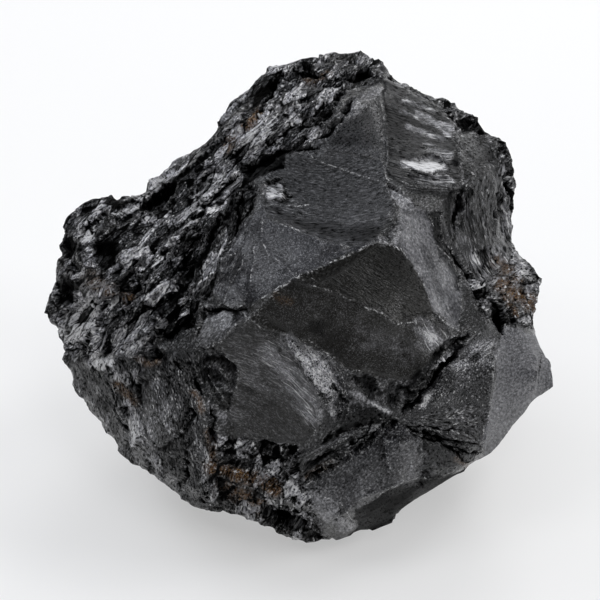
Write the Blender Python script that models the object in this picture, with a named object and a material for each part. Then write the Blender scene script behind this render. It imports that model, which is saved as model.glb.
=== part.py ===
"""A raw lump of shungite, about 100 mm across, standing on a flat broken face.

The stone is one piece of glassy black carbon rock. Its front is a fan of shell-like breaks with
sharp edges between them, its upper left is folded slate, and its back is large breaks and a few seams.

Every point is sighted from one station in front of the stone, STATION mm from its middle and
SIGHT_RISE above the horizon. "Across" and "up" are read on the plane through the stone's middle
that faces the station, and "out" is how far the point stands in front of that plane.
Lengths are millimetres until the mesh is made, and Blender's metres from there on.
"""

import math

import bmesh
import bpy
import numpy as np
from mathutils import Matrix, Vector, kdtree, noise

STATION = 400.0
SIGHT_RISE = math.radians(38.0)
MIDDLE_HEIGHT = 40.5  # the stone's middle above the face that it stands on

FRONT_SWELL = 31.0  # how far the front bulges past its outline
SWELL_REACH = 46.0  # how far in from the outline it goes on rising
OUTLINE_SET_BACK = 3.0  # the outline's plane behind the middle, at mid height
OUTLINE_LEAN = 0.09  # and how much further back it lies for each mm up

EDGE_RELIEF = 1.7  # every edge's height over the swell is scaled by this

LINE_STEP = 2.0  # spacing of the mesh's corners along an edge line
FRONT_SPACING = 1.65  # and between the lines, in front
BACK_SPACING = 2.9  # and behind
CANDIDATES = 30000  # directions tried for the corners between the lines
FRONT_DEPTH = 12.0  # how far behind the middle the closer spacing goes on
RELAX_ROUNDS = 60
SHORTEST_EDGE = 0.25  # shorter edges, left by the flat cut, are closed up

COLLAR_SHARE = 0.965
COLLAR_BEHIND = 8.0

CLEFT_HALF_WIDTH = 1.7
CLEFT_END = 0.25  # the share of a cleft's length over which it deepens from each end
LAYER_SLANT = math.radians(41.0)  # of the slate's layers, from the horizontal
LAYER_WIDTH = 8.5  # from one broken slate edge to the next
LAYER_RELIEF = 1.5
LAYER_WANDER = 4.0  # how far the layers stray to a side
WANDER_SIZE = 13.0  # and over what length
BREAK_SIZE = (12.0, 5.0, 12.0)  # of the slate's broken pieces: along the layers, across them and out
BREAK_RELIEF = 1.95
RUBBLE_SIZE = 7.5
RUBBLE_RELIEF = 1.3
BACK_RELIEF = 1.8
BACK_LUMP_SIZE = 9.0
ZONE_FADE = 6.0  # over which a zone of slate or rubble fades out at its rim
FRONT_FADE = 5.0  # the relief fades to none on the outline, over this depth in front of it
BACK_FADE = 8.0  # and over this depth behind it

# The outline, clockwise from the peak: (across, up).
OUTLINE = [
    (12.2, 50.0), (14.2, 48.8), (16.0, 47.8), (17.4, 46.0), (18.6, 44.2), (21.0, 43.2),
    (24.2, 41.6), (26.4, 40.4), (29.2, 39.6), (31.6, 38.6), (33.0, 37.0), (35.0, 36.8),
    (36.6, 35.2), (38.2, 32.8), (39.8, 32.4), (41.6, 30.0), (42.6, 28.0), (42.6, 25.6),
    (43.2, 23.0), (42.6, 20.8), (42.6, 18.4), (42.2, 15.0), (41.8, 12.4), (42.6, 10.4),
    (44.2, 8.0), (45.8, 6.4), (47.4, 5.6), (48.2, 3.8), (47.4, 1.8), (47.2, -0.4),
    (46.4, -3.0), (46.2, -6.2), (47.4, -8.8), (48.6, -10.8), (50.0, -12.4), (50.8, -14.8),
    (50.4, -17.2), (48.2, -18.8), (46.2, -20.4), (44.6, -23.0), (42.6, -24.8), (40.8, -27.6),
    (39.4, -29.6), (37.8, -31.2), (35.4, -32.0), (33.2, -33.2), (32.6, -34.6), (30.4, -36.2),
    (28.0, -37.0), (25.6, -38.6), (23.0, -40.0), (20.4, -42.4), (18.2, -44.4), (16.0, -45.8),
    (13.0, -46.2), (10.0, -47.0), (7.2, -48.0), (4.8, -47.4), (2.0, -48.4), (-1.0, -48.2),
    (-3.2, -47.2), (-5.0, -45.8), (-7.6, -44.6), (-10.0, -43.6), (-13.0, -42.8), (-16.4, -42.2),
    (-20.0, -41.8), (-22.2, -40.8), (-23.8, -39.8), (-25.2, -37.8), (-27.6, -36.8), (-28.8, -35.8),
    (-29.8, -34.2), (-32.2, -33.4), (-34.2, -32.0), (-36.2, -30.0), (-37.0, -27.8), (-38.8, -26.6),
    (-40.0, -23.6), (-42.4, -22.2), (-42.8, -20.6), (-44.0, -19.2), (-45.4, -16.8), (-46.0, -14.0),
    (-47.4, -11.8), (-46.8, -10.0), (-48.0, -7.4), (-48.4, -5.0), (-49.8, -4.2), (-51.0, -2.6),
    (-50.2, -0.4), (-49.4, 2.6), (-48.4, 4.4), (-49.0, 6.6), (-48.0, 8.8), (-47.6, 12.0),
    (-46.6, 13.4), (-47.2, 14.6), (-46.4, 16.6), (-44.6, 18.0), (-42.8, 19.4), (-40.8, 20.6),
    (-37.6, 21.0), (-36.2, 20.2), (-32.8, 20.4), (-31.6, 22.2), (-30.6, 24.2), (-28.6, 25.2),
    (-26.8, 25.6), (-25.6, 27.6), (-23.4, 29.0), (-21.4, 29.6), (-19.0, 31.0), (-16.6, 33.8),
    (-15.4, 37.0), (-14.2, 39.4), (-12.6, 40.4), (-11.0, 41.0), (-9.6, 43.0), (-7.8, 44.2),
    (-6.4, 46.0), (-4.2, 47.2), (-1.6, 47.4), (0.8, 48.6), (4.4, 49.2), (7.2, 48.8), (9.6, 49.4),
]

# Sharp edges between the front's breaks: (across, up, how far it stands proud of the swell).
FRONT_EDGES = {
    # the long edge across the middle, and the two big dark breaks below it
    "spine_foot": [(-18.6, -10.0, 0.3), (-15.6, -8.2, 0.8), (-13.2, -5.6, 1.0), (-10.0, -4.0, 2.2)],
    "spine": [
        (-10.0, -4.0, 2.2), (-6.0, 0.4, 2.8), (-3.2, 3.0, 3.2), (-0.8, 4.6, 3.4), (3.6, 5.8, 3.3),
        (6.6, 7.6, 3.2), (10.0, 9.4, 3.1), (12.8, 10.6, 3.0), (15.8, 11.4, 2.9), (20.0, 10.0, 2.8),
    ],
    "cheek": [
        (20.0, 10.0, 2.8), (22.4, 6.6, 1.3), (24.2, 3.8, 1.2), (25.4, 1.2, 1.0), (26.6, -2.2, 1.0),
        (28.0, -4.4, 1.0), (30.2, -6.8, 1.2),
    ],
    "seam": [(-0.8, 4.6, 3.4), (5.6, 2.0, 2.6), (10.4, -0.2, 2.2), (15.6, -2.6, 1.9), (20.4, -4.8, 1.6)],
    "brow": [
        (-10.0, -4.0, 2.2), (-4.6, -6.2, 1.0), (2.0, -9.0, 1.0), (5.2, -11.0, 1.0), (7.6, -13.2, 1.0),
        (10.4, -14.2, 0.7), (14.4, -16.2, 0.2), (19.4, -20.0, -0.6),
    ],
    "wedge_top": [
        (30.2, -6.8, 1.2), (26.8, -10.0, 0.8), (23.6, -13.2, 0.5), (20.8, -16.2, 0.0), (19.4, -20.0, -0.6),
    ],
    "wedge_sill": [
        (34.6, -6.8, 1.2), (31.8, -10.0, 1.3), (28.8, -14.0, 1.4), (26.0, -17.6, 1.2), (23.0, -21.0, 0.7),
        (20.0, -23.4, -0.6),
    ],
    # the rippled break at lower left, and the lit strip on its right
    "ripple_side": [
        (-3.4, -6.8, 0.9), (-0.8, -10.0, 1.0), (1.6, -13.0, 1.1), (3.6, -16.8, 1.1), (4.4, -20.8, 1.0),
        (3.8, -25.6, 0.8), (1.8, -29.2, 0.8),
    ],
    "ripple_heel": [(-14.4, -11.4, 0.3), (-12.4, -14.4, 0.5), (-12.8, -17.6, 0.4), (-17.0, -22.4, 0.3)],
    "cliff": [
        (-20.6, -9.0, 0.6), (-20.8, -14.0, 1.4), (-19.8, -19.0, 1.8), (-18.6, -24.0, 1.8),
        (-18.6, -30.0, 1.5), (-18.2, -35.6, 0.7), (-18.6, -39.2, 0.0),
    ],
    # the foot, below the long slot
    "slot_sill": [
        (0.6, -37.8, 0.8), (5.0, -35.0, 1.4), (9.0, -32.2, 1.6), (13.0, -29.4, 1.6), (17.0, -26.8, 1.2),
        (20.0, -23.4, -0.6),
    ],
    "slot_bank": [(1.8, -29.2, 0.8), (8.0, -26.4, -0.8), (14.0, -24.0, -1.2), (20.0, -23.4, -0.6)],
    "foot_rib": [(20.0, -23.4, -0.6), (19.6, -27.0, 0.5), (20.4, -31.0, 1.1), (20.4, -36.6, 1.2)],
    "foot_edge": [
        (32.2, -33.6, 0.2), (26.0, -35.6, 0.6), (20.4, -36.6, 1.2), (16.0, -38.8, 0.7),
        (11.0, -40.6, 0.7), (8.4, -43.2, 0.4),
    ],
    "foot_left": [(0.6, -37.8, 0.8), (0.0, -39.6, 0.5), (2.4, -42.8, 0.4), (5.2, -46.0, 0.2)],
    "ray_high": [(20.0, -23.4, -0.6), (26.0, -24.8, -0.3), (31.2, -26.2, 0.0), (36.6, -29.6, 0.4)],
    "ray_low": [(20.0, -23.4, -0.6), (25.0, -28.0, -0.4), (29.4, -30.4, 0.0), (33.2, -33.2, 0.0)],
    "rust_ledge": [
        (-18.2, -35.6, 0.4), (-14.0, -34.6, 0.6), (-7.6, -35.6, 0.8), (-6.0, -38.8, 0.8),
        (-3.2, -41.6, 0.7), (0.4, -43.2, 0.5), (3.6, -45.8, 0.3),
    ],
    # the right side
    "corner_edge": [
        (40.0, -7.4, 1.0), (38.8, -12.0, 1.2), (38.4, -17.0, 1.3), (37.8, -22.0, 1.2), (37.4, -26.0, 0.9),
        (36.6, -29.6, 0.4),
    ],
    "tip_crease": [(47.0, -9.6, 0.0), (47.4, -14.4, 0.4), (46.8, -18.4, 0.0)],
    "pier_left": [(26.4, 18.0, 1.3), (26.6, 11.6, 1.1), (29.2, 9.8, 1.2)],
    "pier_right": [
        (29.2, 9.8, 1.2), (30.8, 6.4, 1.3), (31.8, 2.0, 1.3), (32.2, -2.4, 1.2), (31.4, -5.4, 1.0),
        (30.2, -6.8, 1.2),
    ],
    "pier_rib": [(29.4, 21.0, 1.4), (28.4, 17.6, 1.5), (28.0, 14.4, 1.5), (29.2, 9.8, 1.2)],
    "flute_inner": [
        (34.0, 23.0, 1.2), (34.2, 18.0, 1.2), (35.4, 13.6, 1.0), (37.6, 10.0, 0.8), (40.0, 7.0, 0.6),
    ],
    "flute_outer": [(39.0, 25.6, 0.8), (38.8, 20.0, 0.8), (40.0, 14.4, 0.6), (41.0, 11.0, 0.4)],
    "rust_seam": [
        (32.4, 8.0, 0.8), (36.0, 5.6, 0.4), (37.6, 2.0, 0.2), (39.4, -0.4, 0.0), (41.0, -4.4, 0.6),
        (40.0, -7.4, 1.0),
    ],
    # the upper right, with its rippled break and the bright ledge under it
    "crown_ledge": [
        (17.2, 43.8, 0.2), (20.4, 42.0, 0.4), (24.0, 39.8, 0.5), (28.0, 38.0, 0.5), (30.2, 36.6, 0.6),
    ],
    "brink": [
        (30.2, 36.6, 0.6), (30.6, 33.6, 0.9), (31.8, 30.0, 1.0), (32.2, 26.8, 0.8), (32.4, 23.6, 1.0),
        (34.0, 23.0, 1.2),
    ],
    "ledge_back": [
        (16.8, 27.0, 1.8), (20.0, 28.0, 0.8), (25.0, 28.4, 0.2), (29.0, 27.6, 0.2), (32.2, 26.8, 0.8),
    ],
    "ledge_lip": [
        (17.6, 23.0, 1.8), (20.0, 25.6, 1.5), (23.0, 24.8, 1.7), (26.4, 23.8, 1.7), (31.0, 23.4, 1.5),
        (32.4, 23.6, 1.0),
    ],
    "pier_head": [
        (19.0, 18.6, 1.6), (21.0, 17.0, 1.2), (23.6, 17.4, 1.3), (26.4, 18.0, 1.3), (29.4, 21.0, 1.4),
        (31.0, 23.4, 1.5),
    ],
    # the bowl in the middle of the top
    "bowl_left": [
        (-7.6, 15.6, 1.4), (-8.6, 19.4, 1.2), (-7.6, 23.4, 1.2), (-3.2, 29.4, 1.0), (0.0, 30.2, 1.0),
        (3.6, 29.6, 0.8), (7.6, 35.6, 1.0), (10.4, 39.4, 0.8), (15.8, 41.8, 0.6),
    ],
    "bowl_right": [
        (15.8, 41.8, 0.6), (15.6, 37.0, 1.2), (15.4, 32.0, 1.6), (16.8, 27.0, 1.8), (17.6, 23.0, 1.8),
        (19.0, 18.6, 1.6), (19.4, 15.2, 1.5), (17.2, 12.6, 1.5), (15.8, 11.4, 2.9),
    ],
    "bowl_lip": [
        (-7.6, 15.6, 1.4), (-4.4, 14.4, 1.3), (2.0, 13.0, 1.2), (6.0, 11.4, 1.2), (10.0, 10.6, 1.6),
        (12.8, 10.6, 3.0),
    ],
    "plum_side": [(-7.6, 12.0, 1.2), (-4.4, 10.6, 1.3), (-1.6, 7.6, 1.5), (-0.8, 4.6, 3.4)],
    # the folds on the bowl's left
    "fold_inner": [
        (-7.6, 15.6, 1.4), (-7.6, 12.0, 1.2), (-9.0, 7.6, 1.2), (-10.0, 3.0, 1.1), (-10.8, -0.6, 0.9),
    ],
    "fold_middle": [
        (-8.6, 19.4, 1.2), (-10.6, 11.4, 0.6), (-12.0, 7.0, 0.7), (-13.8, 3.4, 0.7), (-15.4, -0.8, 0.6),
    ],
    "fold_outer": [
        (-10.0, 20.0, 0.8), (-11.4, 15.6, 0.8), (-13.4, 11.0, 0.2), (-16.0, 4.0, 0.2),
        (-19.4, -1.6, 0.4),
    ],
    "tile_edge": [(-19.4, -2.4, 0.2), (-13.0, -2.2, 0.4), (-10.0, -4.0, 2.2)],
    "tile_foot": [(-19.4, -2.4, 0.2), (-20.6, -9.0, 0.6), (-18.6, -10.0, 0.3)],
    # the crests of the slate
    "crest_high": [
        (6.0, 41.6, 0.8), (0.0, 39.0, 1.0), (-7.0, 34.0, 1.2), (-13.0, 29.0, 1.1), (-18.0, 24.0, 0.9),
        (-23.0, 18.0, 0.8),
    ],
    "crest_low": [
        (-12.0, 19.0, 0.9), (-17.0, 14.4, 0.9), (-22.0, 10.0, 0.9), (-27.0, 4.0, 0.9),
        (-30.0, 0.6, 0.7),
    ],
    "crest_left": [(-23.0, 18.0, 0.8), (-30.0, 15.6, 1.0), (-38.0, 15.0, 0.6), (-44.6, 12.8, 0.6)],
    # the left block and the blocks under it
    "block_foot": [
        (-44.6, 12.8, 0.6), (-43.0, 7.6, 1.0), (-40.0, 5.0, 1.2), (-35.0, 1.6, 1.2), (-33.8, 0.6, 0.6),
    ],
    "chip_side": [(-40.4, -0.6, 0.4), (-39.2, -3.6, 0.8), (-40.6, -7.0, 0.8), (-43.2, -9.6, 0.6)],
    "slab_right": [
        (-30.0, -1.4, 0.6), (-30.4, -7.0, 0.9), (-32.0, -12.4, 0.9), (-37.6, -14.4, 0.9),
        (-40.6, -11.0, 0.8),
    ],
    "hem_high": [
        (-37.6, -14.4, 0.9), (-37.0, -19.0, 0.5), (-35.0, -24.0, 0.7), (-32.0, -28.0, 0.9),
        (-29.6, -32.0, 0.6), (-25.6, -35.6, 0.5),
    ],
    "hem_low": [
        (-32.0, -12.4, 0.9), (-29.0, -18.0, 1.3), (-25.0, -24.0, 1.5), (-22.6, -29.0, 1.3),
        (-22.4, -34.0, 0.9), (-20.0, -39.6, 0.4),
    ],
}

# Clefts cut into the front: (across, up) down the middle of each, and its depth.
CLEFTS = {
    "wedge": ([(33.4, -8.0), (29.2, -12.2), (25.2, -16.8), (21.2, -21.4)], 4.0),
    "slot": ([(18.6, -24.4), (14.8, -26.8), (11.0, -29.4), (7.6, -31.8), (4.0, -34.4), (0.6, -36.6)], 3.0),
    "slate_long": (
        [(-3.4, 29.6), (-6.4, 27.4), (-9.6, 24.0), (-12.8, 21.6), (-16.4, 18.8), (-20.0, 16.8), (-24.0, 14.2),
         (-27.4, 11.4), (-30.6, 7.6), (-33.0, 4.0), (-34.0, 0.4), (-36.4, -0.6), (-39.8, -1.2)], 2.2),
    "slate_inner": (
        [(-15.6, 15.6), (-18.0, 12.0), (-20.0, 9.0), (-22.6, 7.4), (-23.6, 4.2), (-25.8, 0.4), (-28.6, -2.2),
         (-29.2, -5.6)], 2.0),
    "slate_foot": (
        [(-19.8, -3.6), (-22.6, -5.2), (-25.6, -6.8), (-28.6, -8.6), (-30.4, -11.4), (-32.6, -15.2),
         (-34.4, -18.4)], 1.8),
    "crown": ([(15.0, 45.2), (10.0, 44.2), (5.0, 43.8), (0.6, 43.6)], 2.2),
    "crown_left": ([(-3.0, 46.0), (-4.8, 42.8), (-6.0, 40.4), (-7.6, 38.4), (-9.4, 36.4)], 1.3),
    "rubble": ([(10.0, 39.4), (6.6, 34.6), (2.4, 36.0), (-1.2, 35.0)], 1.2),
    "niche": ([(-25.2, 24.0), (-28.0, 21.6), (-30.6, 19.4)], 2.4),
    "block_top": ([(-45.0, 13.6), (-41.6, 15.2), (-39.2, 16.8), (-36.8, 16.8), (-32.0, 17.6)], 1.6),
    "flute_crack": ([(31.8, 22.0), (31.6, 19.4), (31.0, 16.0), (31.0, 12.4)], 1.4),
    "flank": ([(40.4, 26.0), (40.8, 22.0), (40.0, 18.0), (40.6, 13.6)], 1.4),
}

# Where the slate and the rubble lie: discs of (across, up, radius).
SLATE_ZONE = [
    (-4.0, 38.0, 8.0), (8.0, 46.0, 8.0), (-14.0, 28.0, 9.0), (-22.0, 18.0, 10.0), (-18.0, 8.0, 9.0),
    (-27.0, 4.0, 9.0), (-38.0, 10.0, 10.0), (-42.0, -2.0, 9.0), (-30.0, -5.0, 8.0), (3.0, 33.0, 5.0),
]
RUBBLE_ZONE = [
    (-28.0, -22.0, 9.0), (-24.0, -34.0, 8.0), (-36.0, -24.0, 7.0), (-12.0, -38.0, 7.0), (-2.0, -44.0, 8.0),
    (40.0, 16.0, 6.0), (38.0, 28.0, 7.0), (43.0, 2.0, 5.0), (12.0, -20.0, 5.0),
]

# Scoops in the breaks: the middle of each, its half sizes across and up, and its depth.
# A depth below 0 is a lump.
SCOOPS = {
    "bowl": ((5.0, 22.0), (15.0, 13.0), 3.0),
    "plum": ((7.0, 9.0), (10.0, 5.0), 0.4),
    "ripples": ((-5.0, -20.0), (12.0, 15.0), 1.8),
    "broken_corner": ((10.0, -20.0), (8.0, 5.0), 1.6),
    "eye": ((-16.4, -14.4), (4.4, 4.6), 4.2),
    "shell": ((24.5, 33.6), (8.0, 7.0), 1.4),
    "ledge": ((24.5, 25.8), (7.0, 2.6), -0.8),
    "pier": ((26.0, 3.0), (6.0, 12.0), 0.8),
    "dark_high": ((17.0, 0.6), (10.0, 7.0), 0.7),
    "dark_low": ((12.0, -8.6), (12.0, 6.0), 0.8),
    "corner": ((31.0, -18.0), (8.0, 9.0), 0.8),
    "end": ((42.0, -18.0), (5.0, 11.0), 0.6),
    "foot": ((12.0, -34.0), (10.0, 8.0), 1.0),
    "cave": ((-3.0, -43.0), (8.0, 3.4), 3.4),
    "rust_pit": ((39.2, -3.6), (2.6, 4.2), 3.0),
    "knob": ((45.6, 4.0), (3.2, 2.8), -2.0),
    "niche": ((-28.6, 21.2), (5.0, 4.0), 3.2),
    "block": ((-38.0, 9.0), (8.0, 6.0), -1.8),
    "chip": ((-35.6, -4.0), (6.0, 6.0), -0.8),
    "slate_bulge": ((-8.0, 34.0), (9.0, 7.0), -1.6),
    "slate_back": ((-18.0, 10.0), (6.0, 12.0), -1.2),
    "cap": ((9.0, 46.0), (9.0, 2.6), -1.2),
    "flutes": ((36.0, 15.0), (5.0, 9.0), -0.8),
    "cheek_low": ((-26.0, -24.0), (7.0, 10.0), -1.6),
}

# Edges of the back and the underside: (across, up, out).
BACK_EDGES = {
    "keel": [
        (-38.0, -12.0, -18.0), (-27.0, -17.0, -29.0), (-15.0, -25.0, -36.0), (8.0, -25.0, -38.0),
        (24.0, -22.0, -34.0), (39.0, -13.0, -20.0),
    ],
    "girdle": [
        (-39.0, 6.0, -19.0), (-27.0, 11.0, -27.0), (-14.0, 14.0, -35.5), (8.0, 8.0, -39.0),
        (20.0, 12.0, -33.0), (29.0, 10.0, -29.0), (38.0, 14.0, -18.0),
    ],
    "nape": [
        (-21.0, 22.0, -19.0), (-12.0, 27.0, -26.0), (-4.0, 35.0, -23.0), (9.0, 33.0, -29.0),
        (18.0, 33.0, -22.0), (29.0, 26.0, -21.0),
    ],
    "rib_left": [(-15.0, -25.0, -36.0), (-20.0, -10.0, -37.5), (-14.0, 14.0, -35.5), (-12.0, 27.0, -26.0)],
    "rib_middle": [
        (8.0, -25.0, -38.0), (4.0, -8.0, -41.0), (8.0, 8.0, -39.0), (3.0, 22.0, -33.0),
        (9.0, 33.0, -29.0), (11.0, 43.0, -16.0),
    ],
    "rib_right": [(24.0, -22.0, -34.0), (21.0, -6.0, -37.0), (29.0, 10.0, -29.0), (29.0, 26.0, -21.0)],
    "slant_left": [(-20.0, -10.0, -37.5), (-30.0, -3.0, -28.0), (-39.0, 6.0, -19.0)],
    "slant_right": [(21.0, -6.0, -37.0), (32.0, -5.0, -27.0), (42.0, 0.0, -14.0)],
    "belly": [
        (-30.0, -28.0, -10.0), (-12.0, -41.0, -14.0), (8.0, -42.0, -14.0), (24.0, -35.0, -12.0),
        (36.0, -26.0, -9.0),
    ],
}

BACK_SCOOPS = {
    "shell": ((-4.0, -3.0), (15.0, 15.0), 2.6),
    "shell_right": ((30.0, 18.0), (10.0, 12.0), 1.6),
    "saddle": ((15.0, 22.0), (9.0, 10.0), 1.8),
    "heel": ((18.0, -14.0), (13.0, 9.0), 1.6),
    "bump": ((-24.0, 3.0), (8.0, 8.0), -1.8),
    "flake": ((-31.0, -8.0), (8.0, 7.0), 1.4),
    "shoulder": ((0.0, 30.0), (8.0, 6.0), -1.4),
}
BACK_CLEFTS = {
    "step": ([(20.0, 30.0), (22.0, 20.0), (21.0, 10.0), (26.0, 3.0), (36.0, 1.0)], 2.0),
    "seam": ([(-30.0, 17.0), (-22.0, 8.0), (-18.0, -2.0), (-22.0, -12.0), (-20.0, -20.0)], 2.2),
    "nick": ([(-6.0, 38.0), (-2.0, 28.0), (-8.0, 20.0)], 1.6),
}
BACK_SLATE = [(-26.0, 14.0, 10.0), (-12.0, 30.0, 9.0), (-34.0, 0.0, 8.0)]
BACK_RUBBLE = [(34.0, 16.0, 8.0), (26.0, 4.0, 6.0), (-28.0, -20.0, 8.0), (4.0, 44.0, 7.0), (2.0, -30.0, 9.0)]


def sighted(across, up, out):
    """A sighted point's place: what stands nearer the station is drawn in towards the middle line."""
    nearer = (STATION - out) / STATION
    return Vector((across * nearer, up * nearer, out))


def distance_to_line(point, line):
    """Shortest distance in the sighting plane from a point to a line, and how far along that is, 0 to 1."""
    point = np.array(point[:2])
    corners = np.array([corner[:2] for corner in line])
    spans = corners[1:] - corners[:-1]
    lengths = np.linalg.norm(spans, axis=1)
    share = np.clip(np.einsum("ij,ij->i", point - corners[:-1], spans) / lengths**2, 0, 1)
    gaps = np.linalg.norm(corners[:-1] + spans * share[:, None] - point, axis=1)
    nearest = int(gaps.argmin())
    along = (lengths[:nearest].sum() + share[nearest] * lengths[nearest]) / lengths.sum()
    return float(gaps[nearest]), float(along)


def outline_out(up):
    return -OUTLINE_SET_BACK - OUTLINE_LEAN * up


def collar():
    """A smoothed copy of the outline, a little inside it and behind, where the stone turns to its back."""
    ring = np.array(OUTLINE)
    smooth = sum(np.roll(ring, shift, axis=0) for shift in range(-2, 3)) / 5
    reach = np.linalg.norm(ring, axis=1) / np.linalg.norm(smooth, axis=1)
    smooth *= np.minimum(reach, 1)[:, None]  # so that it doesn't show in the outline's notches
    return [(across, up, outline_out(up) - COLLAR_BEHIND) for across, up in smooth * COLLAR_SHARE]


def swell_out(across, up):
    """How far out the plain rounded front stands, before any break."""
    inset, _ = distance_to_line((across, up), OUTLINE + OUTLINE[:1])
    rise = 1 - min(inset / SWELL_REACH, 1)
    return outline_out(up) + FRONT_SWELL * math.sqrt(1 - rise * rise)


def stepped(line, step=LINE_STEP):
    """The line's points with more between them, no further apart than about the step."""
    points = [Vector(corner) for corner in line]
    made = [points[0]]
    for start, end in zip(points, points[1:]):
        count = max(1, round((end - start).length / step))
        made += [start.lerp(end, (i + 1) / count) for i in range(count)]
    return made


def cleft_and_lips(line):
    """Points down the middle of a cleft, and then along its two lips."""
    middle = [Vector((place.x, place.y)) for place in stepped([(*corner, 0.0) for corner in line])]
    made = list(middle)
    for side in (-1, 1):
        for start, end in zip(middle, middle[1:]):
            run = (end - start).normalized()
            made.append((start + end) / 2 + side * CLEFT_HALF_WIDTH * Vector((-run.y, run.x)))
    return made


class Points:
    """The mesh's corners, each no nearer to the others than it asks."""

    def __init__(self):
        self.places = []
        self.fixed = []
        self.cells = {}

    def cell(self, place):
        return tuple(math.floor(part / BACK_SPACING) for part in place)

    def near(self, place, gap):
        x, y, z = self.cell(place)
        for dx in (-1, 0, 1):
            for dy in (-1, 0, 1):
                for dz in (-1, 0, 1):
                    for i in self.cells.get((x + dx, y + dy, z + dz), ()):
                        if (self.places[i] - place).length < gap:
                            return True
        return False

    def add(self, place, gap, fixed):
        if self.near(place, gap):
            return
        self.cells.setdefault(self.cell(place), []).append(len(self.places))
        self.places.append(place)
        self.fixed.append(fixed)


def edge_points():
    """Corners along every edge line, then along the clefts, which lie on the breaks they cut."""
    points = Points()
    closest = LINE_STEP * 0.55
    closed_outline = [(across, up, outline_out(up)) for across, up in OUTLINE + OUTLINE[:1]]
    for place in stepped(closed_outline):
        points.add(sighted(*place), closest, True)
    for line in FRONT_EDGES.values():
        for across, up, proud in stepped(line):
            points.add(sighted(across, up, swell_out(across, up) + EDGE_RELIEF * proud), closest, True)
    for place in stepped(collar(), BACK_SPACING):
        points.add(sighted(*place), BACK_SPACING * 0.7, True)
    for line in BACK_EDGES.values():
        for place in stepped(line, BACK_SPACING):
            points.add(sighted(*place), closest, True)
    for line, _ in CLEFTS.values():
        for across, up in cleft_and_lips(line):
            points.add(sighted(across, up, swell_out(across, up)), closest, False)
    return points


def fill_points(points):
    """Corners spread evenly over the breaks, at a rough radius taken from the nearest edges."""
    tree = kdtree.KDTree(len(points.places))
    for i, place in enumerate(points.places):
        tree.insert(place.normalized(), i)
    tree.balance()
    edges = list(points.places)
    golden = math.pi * (3 - math.sqrt(5))
    for k in range(CANDIDATES):
        out = 1 - 2 * (k + 0.5) / CANDIDATES
        ring = math.sqrt(1 - out * out)
        direction = Vector((ring * math.cos(golden * k), ring * math.sin(golden * k), out))
        found = tree.find_n(direction, 5)
        weights = [1 / (gap + 0.01) for _, _, gap in found]
        radius = sum(w * edges[i].length for w, (_, i, _) in zip(weights, found)) / sum(weights)
        place = direction * radius
        in_front = place.z > -FRONT_DEPTH
        points.add(place, FRONT_SPACING if in_front else BACK_SPACING, False)


def joined_mesh(points):
    """One closed skin of triangles: the hull of the corners' directions, with each put in its place."""
    skin = bmesh.new()
    for place in points.places:
        skin.verts.new(place.normalized())
    skin.verts.ensure_lookup_table()
    bmesh.ops.convex_hull(skin, input=skin.verts)
    fixed = {}
    for vert, place, is_fixed in zip(skin.verts, points.places, points.fixed):
        vert.co = place
        fixed[vert] = is_fixed
    for vert in [vert for vert in skin.verts if not vert.link_faces]:
        skin.verts.remove(vert)
    bmesh.ops.recalc_face_normals(skin, faces=skin.faces)
    return skin, fixed


def relax(skin, fixed):
    """Draws the skin tight between the edge lines, which stay."""
    skin.verts.ensure_lookup_table()
    skin.verts.index_update()
    places = np.array([vert.co for vert in skin.verts])
    pairs = np.array([[vert.index for vert in edge.verts] for edge in skin.edges])
    counts = np.bincount(pairs.ravel(), minlength=len(places))[:, None]
    free = np.array([not fixed[vert] for vert in skin.verts])
    for _ in range(RELAX_ROUNDS):
        sums = np.zeros_like(places)
        np.add.at(sums, pairs[:, 0], places[pairs[:, 1]])
        np.add.at(sums, pairs[:, 1], places[pairs[:, 0]])
        places[free] = (sums / counts)[free]
    for vert, place in zip(skin.verts, places):
        vert.co = place


def cleft_cut(place, clefts):
    """How deep the clefts cut at a point, each fading out at its two ends."""
    cut = 0.0
    for line, depth in clefts.values():
        gap, along = distance_to_line(place, line)
        if gap < CLEFT_HALF_WIDTH:
            taper = min(1.0, 0.3 + along / CLEFT_END, 0.3 + (1 - along) / CLEFT_END)
            cut = max(cut, depth * taper * (1 - gap / CLEFT_HALF_WIDTH))
    return cut


def scoop_cut(place, scoops):
    cut = 0.0
    for (across, up), (half_across, half_up), depth in scoops.values():
        reach = ((place.x - across) / half_across) ** 2 + ((place.y - up) / half_up) ** 2
        if reach < 1:
            cut += depth * (1 - reach) ** 1.5
    return cut


def zone_weight(place, zone):
    """1 well inside a zone given by discs, falling to 0 past their rims."""
    best = 0.0
    for across, up, radius in zone:
        gap = math.hypot(place.x - across, place.y - up) - radius
        best = max(best, min(1.0, max(0.0, 0.5 - gap / ZONE_FADE)))
    return best


def slate_relief(place):
    """Broken edges of the slate's layers, which run from lower left to upper right and step across it."""
    along = math.cos(LAYER_SLANT) * place.x + math.sin(LAYER_SLANT) * place.y
    across = math.sin(LAYER_SLANT) * place.x - math.cos(LAYER_SLANT) * place.y
    wander = LAYER_WANDER * noise.noise(place / WANDER_SIZE)
    step = (across + wander) / LAYER_WIDTH
    tooth = step - math.floor(step)
    spot = Vector(part / size for part, size in zip((along, across, place.z), BREAK_SIZE))
    return LAYER_RELIEF * (0.5 - tooth) + BREAK_RELIEF * noise.noise(spot)


def rubble_relief(place):
    """Angular lumps, each one a cell about a scattered point."""
    gaps, _ = noise.voronoi(place / RUBBLE_SIZE)
    return RUBBLE_RELIEF * (2.0 * (gaps[1] - gaps[0]) - 0.6)


def carved_move(place, clefts, scoops, slate, rubble):
    layers = slate_relief(place) * zone_weight(place, slate)
    lumps = rubble_relief(place) * zone_weight(place, rubble)
    return layers + lumps - cleft_cut(place, clefts) - scoop_cut(place, scoops)


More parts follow.
